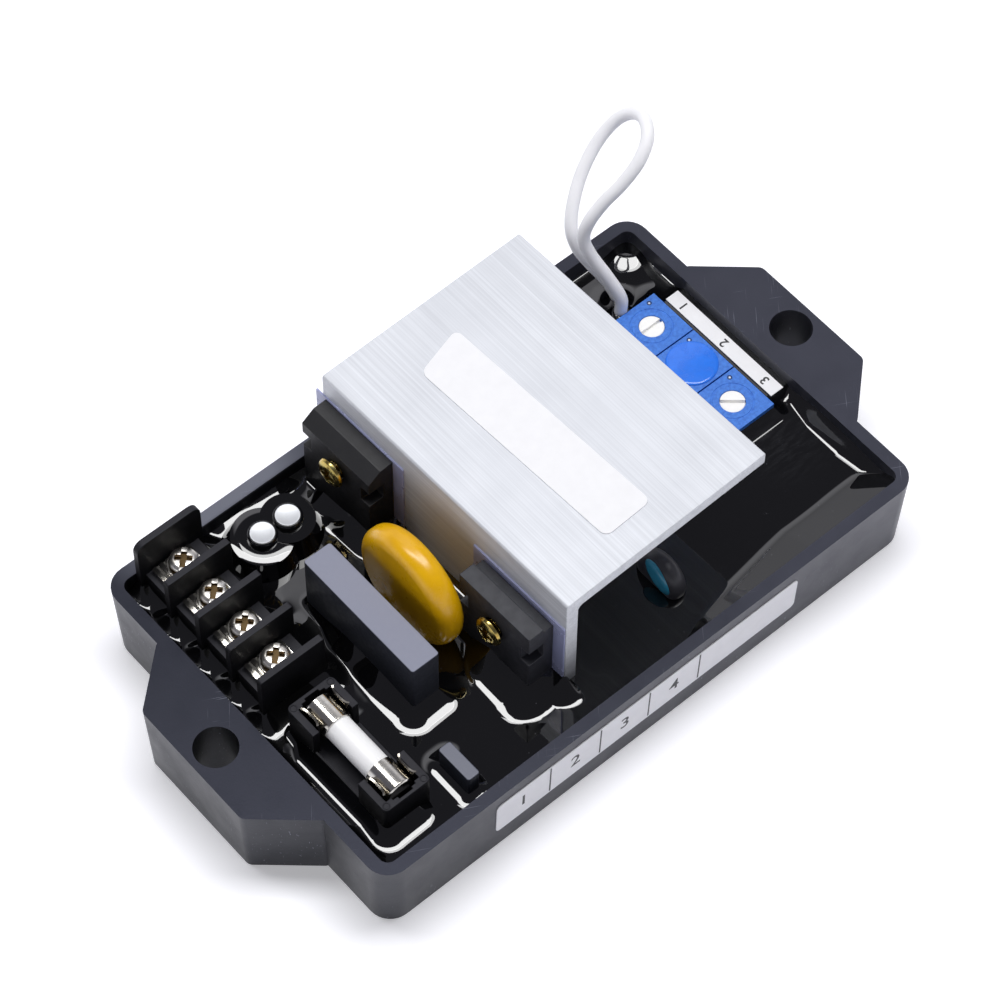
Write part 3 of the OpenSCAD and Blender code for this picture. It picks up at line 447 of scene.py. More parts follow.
class Finishes:
    """The finishes of this regulator, by the common name of the material and how it was made."""

    # Injection moulded ABS: satin, dark with a cold tint, scratched by handling; painted light makes it paler
    # to the trimmer end, and a painted highlight lies on the rear rim
    tray = ScuffedPlastic("abs_moulded_satin_black", "#101217", 0.35, "#0a0b0f", mottle=0.8, mottle_mm=7.0,
                          grain_mm=0.35, relief_mm=0.012, specular=0.46, gloss_tint="#cdd1ec")
    # Cast epoxy: black mirror with a wet look, its surface wavy only on a large scale
    resin = CastResin("epoxy_cast_gloss_black", "#060607", 0.03, "#030304", ior=1.8, gloss_spread=0.01,
                      grain_mm=6.0)
    # Moulded PBT: black, nearly matt, with grey dust on its tops
    block = Finish("pbt_moulded_black", "#121216", 0.55, "#0b0b0e", mottle=0.6, mottle_mm=2.5, grain_mm=0.25,
                   relief_mm=0.005, specular=0.2, dust_and_sheen="#2b2b31")
    # Nickel plate on brass: a mirror that turns its surroundings into crisp dark and light streaks
    nickel = PlatedMetal("nickel_plated_bright", "#e8e6e0", 0.14, mottle=0.3, mottle_mm=2.0,
                         gloss_spread=0.03, relief_mm=0.002)
    # A darker copy of the same plate on spring sheet, as painted shade: only the lips that face the lamp
    # light up
    shaded_nickel = PlatedMetal("nickel_plated_painted_shade", "#8d8a84", 0.12, tint="#6f675a", mottle=0.5, mottle_mm=2.0,
                       gloss_spread=0.04, relief_mm=0.003)
    # Nickel plate on tumbled steel: whiter and softer, with painted brown shade on what lies below a height,
    # as in the recess
    satin = PlatedMetal("nickel_plated_tumbled", "#f2f0ec", 0.3, tint="#cdbfa6", mottle=0.4, mottle_mm=2.0,
                        deep="#66543a", deep_z=(19.1, 19.5))
    # Fired ceramic: clean white with a soft dull glaze
    ceramic = Finish("steatite_fired_white", "#fefefe", 0.34, "#f8f8f8", mottle=0.3, mottle_mm=3.0,
                     relief_mm=0.003, subsurface=0.1)
    # Moulded epoxy box: blue-grey, matt, as fine as sanded slate; its top is painted paler as sheen
    slate = Finish("epoxy_box_moulded_slate", "#2a2d38", 0.6, "#1f222b", mottle=0.5, mottle_mm=0.8,
                   grain_mm=0.3, relief_mm=0.014, dust_and_sheen="#8e91a3")
    # The same box in a darker batch; its top is painted paler as sheen
    dark_box = Finish("epoxy_box_moulded_dark", "#30333e", 0.4, "#23262e", mottle=0.4, mottle_mm=0.8,
                      grain_mm=0.3, relief_mm=0.008, dust_and_sheen="#6a6d7b")
    # Dipped epoxy: amber with a thicker, paler edge and a waxy gloss
    amber = Finish("epoxy_dipped_amber", "#f3bb05", 0.28, "#c48a02", mottle=0.5, mottle_mm=7.0, grain_mm=1.6,
                   relief_mm=0.02, coat=0.15, coat_roughness=0.2, subsurface=0.05)
    # Dipped epoxy in teal, wet with resin
    teal = Finish("epoxy_dipped_teal", "#3a9dc0", 0.18, "#1c6a84", mottle=0.5, mottle_mm=3.0, grain_mm=1.2,
                  relief_mm=0.01, coat=0.5, coat_roughness=0.05)
    # A skin of casting resin that set dull: smoky grey over the disc
    skin = Finish("epoxy_skinned_smoky", "#4a4a50", 0.36, "#2c2c30", mottle=0.6, mottle_mm=3.0, grain_mm=1.5,
                  relief_mm=0.02)
    # Shrunk PVC sleeve: black, glossy, with a tight skin
    sleeve = Finish("pvc_shrunk_black", "#0e0f14", 0.22, "#08080a", mottle=0.4, mottle_mm=2.0)
    # Pressed aluminium: pale and silky, for the tops of the cans
    pressed = Finish("aluminium_pressed_silk", "#c6c8cb", 0.42, "#adafb2", metallic=1.0, mottle=0.3,
                     mottle_mm=1.2, grain_mm=0.2, relief_mm=0.003)
    # Extruded aluminium: bright, brushed along the extrusion, with grey die lines
    aluminium = BrushedMetal("aluminium_extruded_brushed", "#e6e8ec", 0.72, "#bcbec3", metallic=1.0,
                             mottle=0.5, mottle_mm=12.0, line_mm=0.28, gloss_spread=0.05)
    # Moulded epoxy package: black and matt
    package = Finish("epoxy_package_moulded_black", "#18181b", 0.5, "#101012", mottle=0.6, mottle_mm=1.5,
                     grain_mm=0.2, relief_mm=0.008)
    # The other package has a greyer moulding
    grey_package = Finish("epoxy_package_moulded_grey", "#303138", 0.55, "#232429", mottle=0.6, mottle_mm=1.5,
                          grain_mm=0.2, relief_mm=0.01)
    # Polyester film: a thin milky sheet, bluish where light enters its edge
    film = Finish("polyester_film_milky", "#c3c8ee", 0.3, "#a3a9d6", mottle=0.4, mottle_mm=5.0,
                  transmission=0.3, relief_mm=0.002)
    # Yellow zinc passivate: brassy, drifting to green
    zinc = PlatedMetal("zinc_passivated_yellow", "#cfae5a", 0.22, tint="#a9a66e", mottle=0.9, mottle_mm=1.6)
    # Moulded nylon: mid blue with darker flow marks
    blue = Finish("nylon_moulded_blue", "#4184e3", 0.5, "#2560bd", mottle=0.9, mottle_mm=0.6, grain_mm=0.35,
                  relief_mm=0.03)
    # The same nylon in the shade of a pin mark's wall
    navy = Finish("nylon_moulded_navy", "#14315f", 0.45, "#0e2444", mottle=0.5, mottle_mm=0.5)
    # Moulded nylon in natural white
    white = Finish("nylon_moulded_white", "#fefdfb", 0.4, "#f2f0ea", mottle=0.4, mottle_mm=1.0,
                   subsurface=0.1)
    # Brushed-on lacquer: a thick bright blue film
    lacquer = Finish("lacquer_brushed_blue", "#2a7cf2", 0.25, "#1a63d4", mottle=0.5, mottle_mm=1.4,
                     grain_mm=1.2, relief_mm=0.03, coat=0.4)
    # Coated paper: clean white, silky, with a faint fibre
    paper = Finish("paper_coated_white", "#f4f4f6", 0.6, "#ebebed", mottle=0.4, mottle_mm=2.0, grain_mm=0.3,
                   relief_mm=0.002, specular=0.2)
    # Printed ink: soft black that lets the paper through a little
    ink = Finish("ink_printed_black", "#1d1d20", 0.5, "#3a3a3e", mottle=0.5, mottle_mm=0.5)
    # Silicone sleeve: white, soft, almost dull
    silicone = Finish("silicone_extruded_white", "#fafafc", 0.5, "#efeff4", mottle=0.4, mottle_mm=3.0,
                      grain_mm=0.3, relief_mm=0.003, subsurface=0.2)
    # Solder mask: green lacquer on the glass-epoxy board, under the resin
    mask = Finish("solder_mask_screened_green", "#1f5a34", 0.3, "#174427")


def box_of(node: str) -> tuple[Vector, Vector]:
    """The low and high corner of a solid's box, in millimetres."""
    low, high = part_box(node)
    return low / MM, high / MM


def centre_of(node: str) -> Vector:
    """The middle of a solid's box, in millimetres."""
    low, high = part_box(node)
    return (low + high) / 2 / MM


def dress(node: str, finish: Finish) -> None:
    """Give a solid that keeps its own mesh its finish.

    Args:
        node: The solid's name.
        finish: Its finish.
    """
    piece = frame["nodes"][node]
    piece.data.materials.clear()
    piece.data.materials.append(finish.material())


def settle(piece: Piece, finish: Finish, node: str, stands_for: bool = True) -> None:
    """Put a finished piece on its body with its finish.

    Args:
        piece: The object, already in place.
        finish: Its finish.
        node: The solid whose body it takes.
        stands_for: Whether it replaces that solid, or is added to it.
    """
    piece.data.materials.clear()
    piece.data.materials.append(finish.material())
    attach(piece, NODE_BODY[node])
    if stands_for:
        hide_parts(node)
    LOG.info("%s rides on %s", piece.name, NODE_BODY[node])


def link(name: str, data: bpy.types.ID) -> Piece:
    """Make an object from a mesh, curve, camera or lamp and put it in the scene.

    Args:
        name: The object's name.
        data: What it shows.

    Returns:
        The new object.
    """
    piece = bpy.data.objects.new(name, data)
    bpy.context.scene.collection.objects.link(piece)
    return piece


def smooth(mesh: bpy.types.Mesh, angle_deg: float = SMOOTH_DEG) -> None:
    """Shade a mesh smooth, apart from edges sharper than an angle."""
    mesh.polygons.foreach_set("use_smooth", [True] * len(mesh.polygons))
    mesh.set_sharp_from_angle(angle=math.radians(angle_deg))


def make_piece(name: str, form: Form, is_smooth: bool = True) -> Piece:
    """Turn a form into a piece in the scene.

    Args:
        name: The piece's name.
        form: The form, which is freed.
        is_smooth: Whether its round faces are shaded smooth.

    Returns:
        The new object.
    """
    mesh = bpy.data.meshes.new(name)
    form.to_mesh(mesh)
    form.free()
    if is_smooth:
        smooth(mesh)
    return link(name, mesh)


def softened(node: str, width: float, finish: Finish, reform: Callable[[Form], None] | None = None) -> None:
    """Stand in for a solid with the same form, its edges rounded as moulding or tumbling leaves them.

    Args:
        node: The solid's name.
        width: The rounding's width.
        finish: The finish.
        reform: A change of the form that comes before the rounding.
    """
    form = bmesh.new()
    form.from_mesh(frame["nodes"][node].data)
    bmesh.ops.remove_doubles(form, verts=form.verts, dist=WELD * MM)
    bmesh.ops.dissolve_limit(form, angle_limit=math.radians(FLAT_DEG), verts=form.verts, edges=form.edges)
    if reform is not None:
        reform(form)
    sharp = [e for e in form.edges if e.is_manifold and e.calc_face_angle() > math.radians(CREASE_DEG)]
    bmesh.ops.bevel(form, geom=sharp, offset=width * MM, offset_type="OFFSET", segments=3, profile=0.5,
                    affect="EDGES", clamp_overlap=True)
    piece = make_piece(f"{node}_soft", form)
    piece.modifiers.new("flat_faces", "WEIGHTED_NORMAL").keep_sharp = True
    settle(piece, finish, node)


def revolved(name: str, outline: Sequence[Pair], centre: Point, along: Axis, steps: int = 72) -> Piece:
    """Turn an outline round an axis into a closed piece.

    Args:
        name: The piece's name.
        outline: Radius and height pairs; the first and last lie on the axis.
        centre: Where the outline's origin goes.
        along: The axis of the turn.
        steps: Facets of a full turn.

    Returns:
        The new object, smooth.
    """
    form = bmesh.new()
    rings = []
    for radius, height in outline:
        angles = [math.tau * k / steps for k in range(steps if radius > ON_AXIS else 1)]
        rings.append([form.verts.new((radius * math.cos(a) * MM, radius * math.sin(a) * MM, height * MM))
                      for a in angles])
    for low, high in zip(rings, rings[1:]):
        for k in range(steps):
            corners = [ring[i % len(ring)] for ring, i in ((low, k), (low, k + 1), (high, k + 1), (high, k))]
            form.faces.new(list(dict.fromkeys(corners)))
    turn = {Axis.X: Matrix.Rotation(math.pi / 2, 4, "Y"), Axis.Y: Matrix.Rotation(-math.pi / 2, 4, "X"),
            Axis.Z: Matrix.Identity(4)}[along]
    bmesh.ops.transform(form, matrix=Matrix.Translation(Vector(centre) * MM) @ turn, verts=form.verts)
    bmesh.ops.recalc_face_normals(form, faces=form.faces)
    return make_piece(name, form)


def ring_outline(r: float, depth: float, rim: Sequence[Pair]) -> list[Pair]:
    """The outline of a low ring round a level middle.

    Args:
        r: Its outer radius.
        depth: How deep its foot stands in what carries it.
        rim: Inset and height of each point from the outside to the middle.

    Returns:
        Radius and height pairs.
    """
    points = [(r - inset, height) for inset, height in rim]
    return [(0.0, -depth), (r, -depth), *points, (0.0, rim[-1][1])]


@dataclass
class Footprint:
    """A rectangle, turned and rounded if need be, that stands in the resin."""

    x: float
    y: float
    half_x: float
    half_y: float
    round_r: float = 0.0
    turn_deg: float = 0.0

    def distance(self, x: Grid, y: Grid) -> Grid:
        """Signed distance from the outline, negative inside.

        Args:
            x: Places along X.
            y: Places along Y.

        Returns:
            The distance at each place.
        """
        angle = math.radians(self.turn_deg)
        along = (x - self.x) * math.cos(angle) + (y - self.y) * math.sin(angle)
        across = (y - self.y) * math.cos(angle) - (x - self.x) * math.sin(angle)
        out_x = np.abs(along) - (self.half_x - self.round_r)
        out_y = np.abs(across) - (self.half_y - self.round_r)
        outside = np.hypot(np.maximum(out_x, 0), np.maximum(out_y, 0))
        return outside + np.minimum(np.maximum(out_x, out_y), 0) - self.round_r

    @classmethod
    def of(cls, node: str, round_r: float = 0.0) -> "Footprint":
        """The footprint of a solid's box.

        Args:
            node: The solid's name.
            round_r: The radius of its corners.

        Returns:
            The footprint.
        """
        low, high = box_of(node)
        middle, half = (low + high) / 2, (high - low) / 2
        return cls(middle.x, middle.y, half.x, half.y, round_r)


@dataclass
class Stage:
    """The resin's rise at one place along a wall or part: its reach, its slope and how soft its knee is."""

    at: float
    reach: float
    slope: float
    knee: float


def stages(*rows: tuple[float, float, float, float]) -> tuple[Stage, ...]:
    """Make stages from rows of place, reach, slope and knee."""
    return tuple(Stage(*row) for row in rows)


@dataclass
class Climb:
    """How the resin rises towards a part, the same all round or in stages along one axis."""

    reach: float = 0.0
    slope: float = 0.0
    knee: float = 0.28
    uneven: float = 0.012
    footprints: tuple[Footprint, ...] = ()
    dry_inside: bool = True
    overlap: float = 0.5
    along: Axis = Axis.Y
    stages: tuple[Stage, ...] = ()
    ends_at_x: float | None = None
    fade: float = 1.0
    left_at_end: float = 0.1
    ripple_mm: tuple[float, ...] = (2.6, 3.7, 3.1, 5.3, 4.9)
    ripple_phase: float = 0.6

    def distance(self, x: Grid, y: Grid) -> Grid:
        """Distance from the nearest footprint."""
        return np.min([foot.distance(x, y) for foot in self.footprints], axis=0)

    def rise(self, away: Grid, x: Grid, y: Grid) -> Grid:
        """The rise at a distance, with an uneven outer line as a poured surface has.

        Args:
            away: Distance from the wall or part.
            x: Places along X.
            y: Places along Y.

        Returns:
            The height over the flat resin.
        """
        reach, slope, knee = self.reach, self.slope, self.knee
        if self.stages:
            place = x if self.along is Axis.X else y
            at = [stage.at for stage in self.stages]
            reach = np.interp(place, at, [stage.reach for stage in self.stages])
            slope = np.interp(place, at, [stage.slope for stage in self.stages])
            knee = np.interp(place, at, [stage.knee for stage in self.stages])
        a, b, c, d, e = self.ripple_mm
        ripple = np.sin(x / a + np.sin(y / b)) * np.sin(y / c + self.ripple_phase) + np.sin(x / d - y / e)
        room = reach * (1 + self.uneven * ripple) - np.maximum(away, -self.overlap)
        height = slope * knee * np.logaddexp(0, room / knee)
        if self.ends_at_x is None:
            return height
        return height * np.clip((self.ends_at_x - x) / self.fade, self.left_at_end, 1.0)


@dataclass
class Heap:
    """A dome of resin round one can: a brow that bends down, then a steep flank into the casting."""

    side: str
    brow: float
    bend: float
    lean_deg: float
    top: float = 16.75
    foot: float = 9.0
    flank: float = 3.0
    steps: int = 16

    def build(self) -> None:
        """Build and dress the dome, which leans to the front."""
        can = Footprint.of(f"electrolytic_{self.side}")
        away = [self.brow * (1 - k / self.steps) for k in range(self.steps + 1)]
        dome = [(can.half_x + d, self.top - self.bend * d ** 3) for d in away]
        edge_r, edge_z = dome[0]
        foot_r = edge_r + (edge_z - self.foot) / self.flank
        outline = [(0.0, self.foot), (foot_r, self.foot), *dome, (0.0, self.top)]
        piece = revolved(f"resin_heap_{self.side}", outline, (can.x, can.y, 0.0), Axis.Z, 96)
        hinge = Matrix.Translation(Vector((can.x, can.y + can.half_y, self.top)) * MM)
        piece.data.transform(hinge @ Matrix.Rotation(math.radians(self.lean_deg), 4, "X") @ hinge.inverted())
        settle(piece, Finishes.resin, "potting_resin", stands_for=False)


@dataclass
class Resin:
    """The casting resin: one closed block whose top climbs every wall and part."""

    level: float = 12.0
    rim: float = 15.7
    step: float = 0.27
    floor: float = 2.5
    sunk: float = 9.0
    skin: float = 0.6
    wave: float = 0.015
    wave_mm: tuple[float, ...] = (5.3, 4.1, 9.7, 7.9)
    wave_phase: float = 0.4
    sharpness: float = 4.0
    crease_deg: float = 30.0
    heaps: tuple[Heap, ...] = (Heap("left", 2.65, 0.0125, 6.5), Heap("right", 2.0, 0.001, 5.0))
    block_overhang: float = 1.0
    block_pitch: float = 7.62
    barrier_t: float = 1.2
    sink_turn_deg: float = 1.2
    device_half: Pair = (2.5, 8.0)
    leg_half: Pair = (1.4, 28.3)
    leg_y: float = 4.0
    varistor_half: Pair = (1.2, 4.2)
    strip_half: Pair = (2.4, 12.6)
    wire_feet: tuple[Pair, ...] = ((42.2, 21.8), (43.7, 24.2))
    wire_foot_r: float = 1.3
    corner: Pair = (52.2, 31.3)
    corner_r: float = 2.2
    holder_stages: tuple[Stage, ...] = stages(
        (-30.0, 2.35, 0.65, 0.4), (-26.5, 2.1, 0.7, 0.4), (-23.0, 1.6, 0.9, 0.35), (-8.0, 1.8, 0.9, 0.35),
        (-6.0, 0.8, 0.9, 0.3), (-2.0, 0.3, 0.9, 0.3))
    film_stages: tuple[Stage, ...] = stages(
        (-18.0, 3.3, 0.46, 0.65), (-12.0, 3.3, 0.46, 0.65), (-7.0, 3.2, 0.6, 0.55), (0.0, 2.9, 0.7, 0.35),
        (4.0, 2.5, 0.8, 0.25), (8.0, 1.2, 0.8, 0.12), (13.0, 0.6, 0.8, 0.12))
    device_stages: tuple[Stage, ...] = stages(
        (-28.0, 3.9, 0.75, 0.4), (-26.0, 4.0, 0.7, 0.45), (-24.0, 4.7, 0.5, 0.6), (-21.0, 5.2, 0.42, 0.6),
        (-15.5, 5.1, 0.42, 0.55), (-13.5, 4.6, 0.6, 0.25), (-9.0, 1.0, 0.6, 0.15), (11.5, 0.6, 0.6, 0.25),
        (13.0, 3.2, 0.7, 0.3), (14.5, 3.3, 0.7, 0.12), (19.5, 3.6, 0.7, 0.12), (21.5, 3.9, 0.5, 0.4),
        (25.0, 3.6, 0.42, 0.6), (26.5, 2.6, 0.5, 0.4), (28.0, 0.3, 0.5, 0.3))
    trimmer_wall_stages: tuple[Stage, ...] = stages(
        (-30.0, 1.6, 0.75, 0.3), (-26.0, 2.0, 0.75, 0.35), (-21.0, 2.6, 0.75, 0.35), (-14.0, 2.6, 0.75, 0.22),
        (-9.0, 1.8, 0.7, 0.45), (-6.5, 1.1, 0.7, 0.45), (-5.5, 0.2, 0.8, 0.2))
    back_wall_stages: tuple[Stage, ...] = stages(
        (-37.0, 0.4, 0.6, 0.3), (-35.5, 1.3, 0.5, 0.5), (-33.0, 1.8, 0.44, 0.75), (-28.0, 1.9, 0.45, 0.65),
        (-20.0, 1.95, 0.5, 0.5), (-16.0, 1.2, 0.5, 0.4), (20.0, 0.2, 0.8, 0.2))
    front_wall_stages: tuple[Stage, ...] = stages(
        (-2.0, 0.3, 0.5, 0.3), (6.0, 1.4, 0.5, 0.3), (10.0, 2.2, 0.5, 0.3), (14.0, 3.4, 0.5, 0.3),
        (25.0, 4.9, 0.5, 0.3), (34.0, 6.0, 0.5, 0.3))

    def block_climbs(self) -> list[Climb]:
        """The climbs of the terminal block's base and barriers.

        Returns:
            One climb for the base and one for the barriers.
        """
        low, high = box_of("terminal_block")
        mid_x, mid_y = (low.x + high.x) / 2, (low.y + high.y) / 2
        half_x, half_y = (high.x - low.x) / 2, (high.y - low.y) / 2
        base = Footprint(mid_x, mid_y, half_x - self.block_overhang, half_y)
        half_t = self.barrier_t / 2
        barriers = tuple(Footprint(mid_x, high.y - half_t - k * self.block_pitch, half_x, half_t)
                         for k in range(5))
        return [Climb(2.1, 0.55, 0.6, footprints=(base,)), Climb(2.7, 0.7, 0.55, footprints=barriers)]

    def power_climb(self) -> Climb:
        """The climb of the power devices and the heatsink's leg.

        Returns:
            One climb round all three.
        """
        nodes = ("power_device_rear", "power_device_front")
        devices = (Footprint(centre_of(n).x, centre_of(n).y, *self.device_half, 0.3, self.sink_turn_deg)
                   for n in nodes)
        leg_x = sum(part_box(n)[1].x for n in nodes) / 2 / MM + self.leg_half[0]
        leg = Footprint(leg_x, self.leg_y, *self.leg_half, 0.2, self.sink_turn_deg)
        return Climb(uneven=0.03, footprints=(*devices, leg), ends_at_x=-9.6, stages=self.device_stages)

    def climbs(self) -> list[Climb]:
        """List the climb of every part that stands in the resin.

        Returns:
            The climbs, each with its footprints.
        """
        varistor, strip = centre_of("varistor"), centre_of("trimmer_label")
        cans = tuple(Footprint.of(f"electrolytic_{side}", 2.5) for side in ("left", "right"))
        trimmers = tuple(Footprint.of(f"trimmer_body_{place}") for place in TRIMMER_PLACES)
        feet = tuple(Footprint(x, y, *[self.wire_foot_r] * 3) for x, y in self.wire_feet)
        drowned = {"dry_inside": False, "overlap": 0.0}
        return [
            *self.block_climbs(),
            Climb(footprints=(Footprint.of("fuse_holder", 0.9),), ends_at_x=-39.8, fade=2.5,
                  stages=self.holder_stages),
            Climb(1.3, 0.5, 0.5, footprints=(Footprint.of("box_capacitor", 0.5),)),
            Climb(footprints=(Footprint.of("film_capacitor", 0.5),), stages=self.film_stages),
            Climb(1.6, 0.9, footprints=(Footprint(varistor.x, varistor.y, *self.varistor_half, 1.1),)),
            Climb(0.4, 0.5, 0.2, footprints=cans),
            Climb(1.9, 0.8, 0.45, footprints=trimmers),
            self.power_climb(),
            Climb(1.2, 1.2, 0.4, footprints=(Footprint(strip.x, strip.y, *self.strip_half),), **drowned),
            Climb(1.3, 1.4, 0.4, footprints=feet, **drowned),
            Climb(2.4, 0.4, 0.8, footprints=(Footprint(*self.corner, *[self.corner_r] * 3),), **drowned),
        ]

    def wall_rises(self, x: Grid, y: Grid, half_x: float, half_y: float) -> list[Grid]:
        """The rise at each of the four walls; the front one floods towards the trimmer end.

        Args:
            x: Places along X.
            y: Places along Y.
            half_x: Where the end walls stand.
            half_y: Where the long walls stand.

        Returns:
            The rise over the grid from each wall.
        """
        return [
            Climb(1.2, 1.0, 0.35).rise(x + half_x, x, y),
            Climb(stages=self.trimmer_wall_stages).rise(half_x - x, x, y),
            Climb(along=Axis.X, stages=self.back_wall_stages).rise(half_y - y, x, y),
            Climb(along=Axis.X, stages=self.front_wall_stages).rise(y + half_y, x, y),
        ]

    def heights(self, x: Grid, y: Grid, half_x: float, half_y: float) -> Grid:
        """The height of the top at each grid point.

        Args:
            x: Places along X.
            y: Places along Y.
            half_x: Where the end walls stand.
            half_y: Where the long walls stand.

        Returns:
            The heights over the grid.
        """
        rises = self.wall_rises(x, y, half_x, half_y)
        inside = np.zeros(x.shape, bool)
        for climb in self.climbs():
            away = climb.distance(x, y)
            rises.append(climb.rise(away, x, y))
            if climb.dry_inside:
                inside |= away < -self.skin
        total = sum(rise ** self.sharpness for rise in rises) ** (1 / self.sharpness)
        a, b, c, d = self.wave_mm
        swell = self.wave * (np.sin(x / a + self.wave_phase) * np.sin(y / b) + np.sin(x / c - y / d))
        tops = np.minimum(self.level + total + swell, self.rim)
        return np.where(inside, self.sunk, tops)

    def build(self) -> None:
        """Build and dress the block and the domes on it."""
        for heap in self.heaps:
            heap.build()
        low, high = box_of("potting_resin")
        xs = np.linspace(low.x, high.x, int((high.x - low.x) / self.step))
        ys = np.linspace(low.y, high.y, int((high.y - low.y) / self.step))
        grid_x, grid_y = np.meshgrid(xs, ys, indexing="ij")
        tops = self.heights(grid_x, grid_y, high.x, high.y)
        points = np.stack([grid_x, grid_y, tops], axis=-1).reshape(-1, 3)
        order = np.arange(tops.size).reshape(tops.shape)
        quads = np.stack([order[:-1, :-1], order[1:, :-1], order[1:, 1:], order[:-1, 1:]], axis=-1)
        faces = quads.reshape(-1, 4).tolist()
        border = np.concatenate([order[:, 0], order[-1, 1:], order[-2::-1, -1], order[0, -2:0:-1]])
        foot = points[border].copy()
        foot[:, 2] = self.floor
        ring = list(range(len(points), len(points) + len(border)))
        for k in range(len(border)):
            after = (k + 1) % len(border)
            faces.append([int(border[k]), ring[k], ring[after], int(border[after])])
        faces.append(ring[::-1])
        mesh = bpy.data.meshes.new("potting_resin_cast")
        mesh.from_pydata((np.vstack([points, foot]) * MM).tolist(), [], faces)
        mesh.validate()
        smooth(mesh, self.crease_deg)
        settle(link("potting_resin_cast", mesh), Finishes.resin, "potting_resin")


@dataclass
class Tray:
    """The moulded tray and the board under the resin."""

    edge: float = 0.35

    def build(self) -> None:
        """Round the tray's edges and dress the board."""
        softened("tray", self.edge, Finishes.tray)
        dress("circuit_board", Finishes.mask)


@dataclass
class TerminalBlock:
    """The barrier block with its plates, washers and screws."""

    edge: float = 0.18
    metal_edge: float = 0.1
    rib_lean: float = 0.2
    rib_slack: float = 0.01
    plate_end: float = 3.15

    def shape_plate(self, form: Form) -> None:
        """End a plate behind its screw and slope its ribs down to the wire's side, as rolled teeth are.

        Args:
            form: The plate's form, which is changed.
        """
        places = [v.co.x for v in form.verts]
        end = (min(places) + max(places)) / 2 + self.plate_end * MM
        for vert in form.verts:
            vert.co.x = min(vert.co.x, end)
        top = max(v.co.z for v in form.verts)
        for face in form.faces:
            middle = face.calc_center_median()
            if middle.z > top - self.rib_slack * MM:
                for vert in face.verts:
                    if vert.co.x < middle.x:
                        vert.co.z -= self.rib_lean * MM

    def build(self) -> None:
        """Round the block's edges and dress the metal."""
        softened("terminal_block", self.edge, Finishes.block)
        for k in range(1, 5):
            softened(f"terminal_plate_{k}", self.metal_edge, Finishes.nickel, reform=self.shape_plate)
        softened("terminal_washers", self.metal_edge, Finishes.nickel)
        softened("terminal_screws", self.metal_edge, Finishes.satin)


@dataclass
class FuseSet:
    """The fuse, its clips and its holder."""

    edge: float = 0.15
    metal_edge: float = 0.06
    clip_r: float = 2.66
    clip_t: float = 0.34
    clip_l: float = 4.2
    clip_flare: float = 0.32
    clip_lip: float = 1.3
    clip_lean: float = 0.25
    lean_share: float = 0.6
    mouth_deg: float = 62.0
    rows: int = 15
    points: int = 41
    pin_r: float = 0.62
    pin_inset: float = 0.85
    pin_depth: float = 0.2
    pin_rim: tuple[Pair, ...] = ((0.0, 0.06), (0.05, 0.1), (0.14, 0.1), (0.2, 0.02))

    def pin_marks(self) -> None:
        """Build the shallow rings that ejector pins left on the holder's four corners."""
        low, high = box_of("fuse_holder")
        outline = ring_outline(self.pin_r, self.pin_depth, self.pin_rim)
        spots = [(x, y) for x in (low.x + self.pin_inset, high.x - self.pin_inset)
                 for y in (low.y + self.pin_inset, high.y - self.pin_inset)]
        for k, (x, y) in enumerate(spots):
            ring = revolved(f"holder_mark_{k + 1}", outline, (x, y, high.z), Axis.Z, 32)
            settle(ring, Finishes.block, "fuse_holder", stands_for=False)

    def clip(self, end: str) -> None:
        """Build a spring clip: a bowed sheet round the cap whose four corners curl outwards.

        Args:
            end: Which end of the fuse it holds.
        """
        node = f"fuse_clip_{end}"
        middle = centre_of(node)
        centre = Vector((middle.x, middle.y, centre_of("fuse_tube").z))
        mouth = math.radians(self.mouth_deg)
        form = bmesh.new()
        rows = []
        for share in np.linspace(-1.0, 1.0, self.rows):
            curl = self.clip_flare * abs(share) ** 4
            row = []
            for angle in np.linspace(mouth, math.tau - mouth, self.points):
                upper = max(0.0, math.cos(angle)) / math.cos(mouth)
                radius = self.clip_r + curl * upper
                row.append(Vector((radius * math.sin(angle), share * self.clip_l / 2,
                                   radius * math.cos(angle))))
            lean = (self.clip_lean + curl) * self.lean_share
            lips = [Vector((side * lean, 0.0, self.clip_lip)) for side in (1, -1)]
            row = [row[0] + lips[0], *row, row[-1] + lips[1]]
            rows.append([form.verts.new((v + centre) * MM) for v in row])
        for low, high in zip(rows, rows[1:]):
            for k in range(len(low) - 1):
                form.faces.new((low[k], low[k + 1], high[k + 1], high[k]))
        bmesh.ops.recalc_face_normals(form, faces=form.faces)
        bmesh.ops.solidify(form, geom=form.faces[:], thickness=-self.clip_t * MM)
        # The clip takes the darker copy of the nickel, as painted shade
        settle(make_piece(f"{node}_sprung", form), Finishes.shaded_nickel, node)

    def build(self) -> None:
        """Round the edges and dress the pieces."""
        softened("fuse_holder", self.edge, Finishes.block)
        softened("fuse_tube", self.edge, Finishes.ceramic)
        self.pin_marks()
        for end in ("rear", "front"):
            self.clip(end)
            softened(f"fuse_cap_{end}", self.metal_edge, Finishes.nickel)


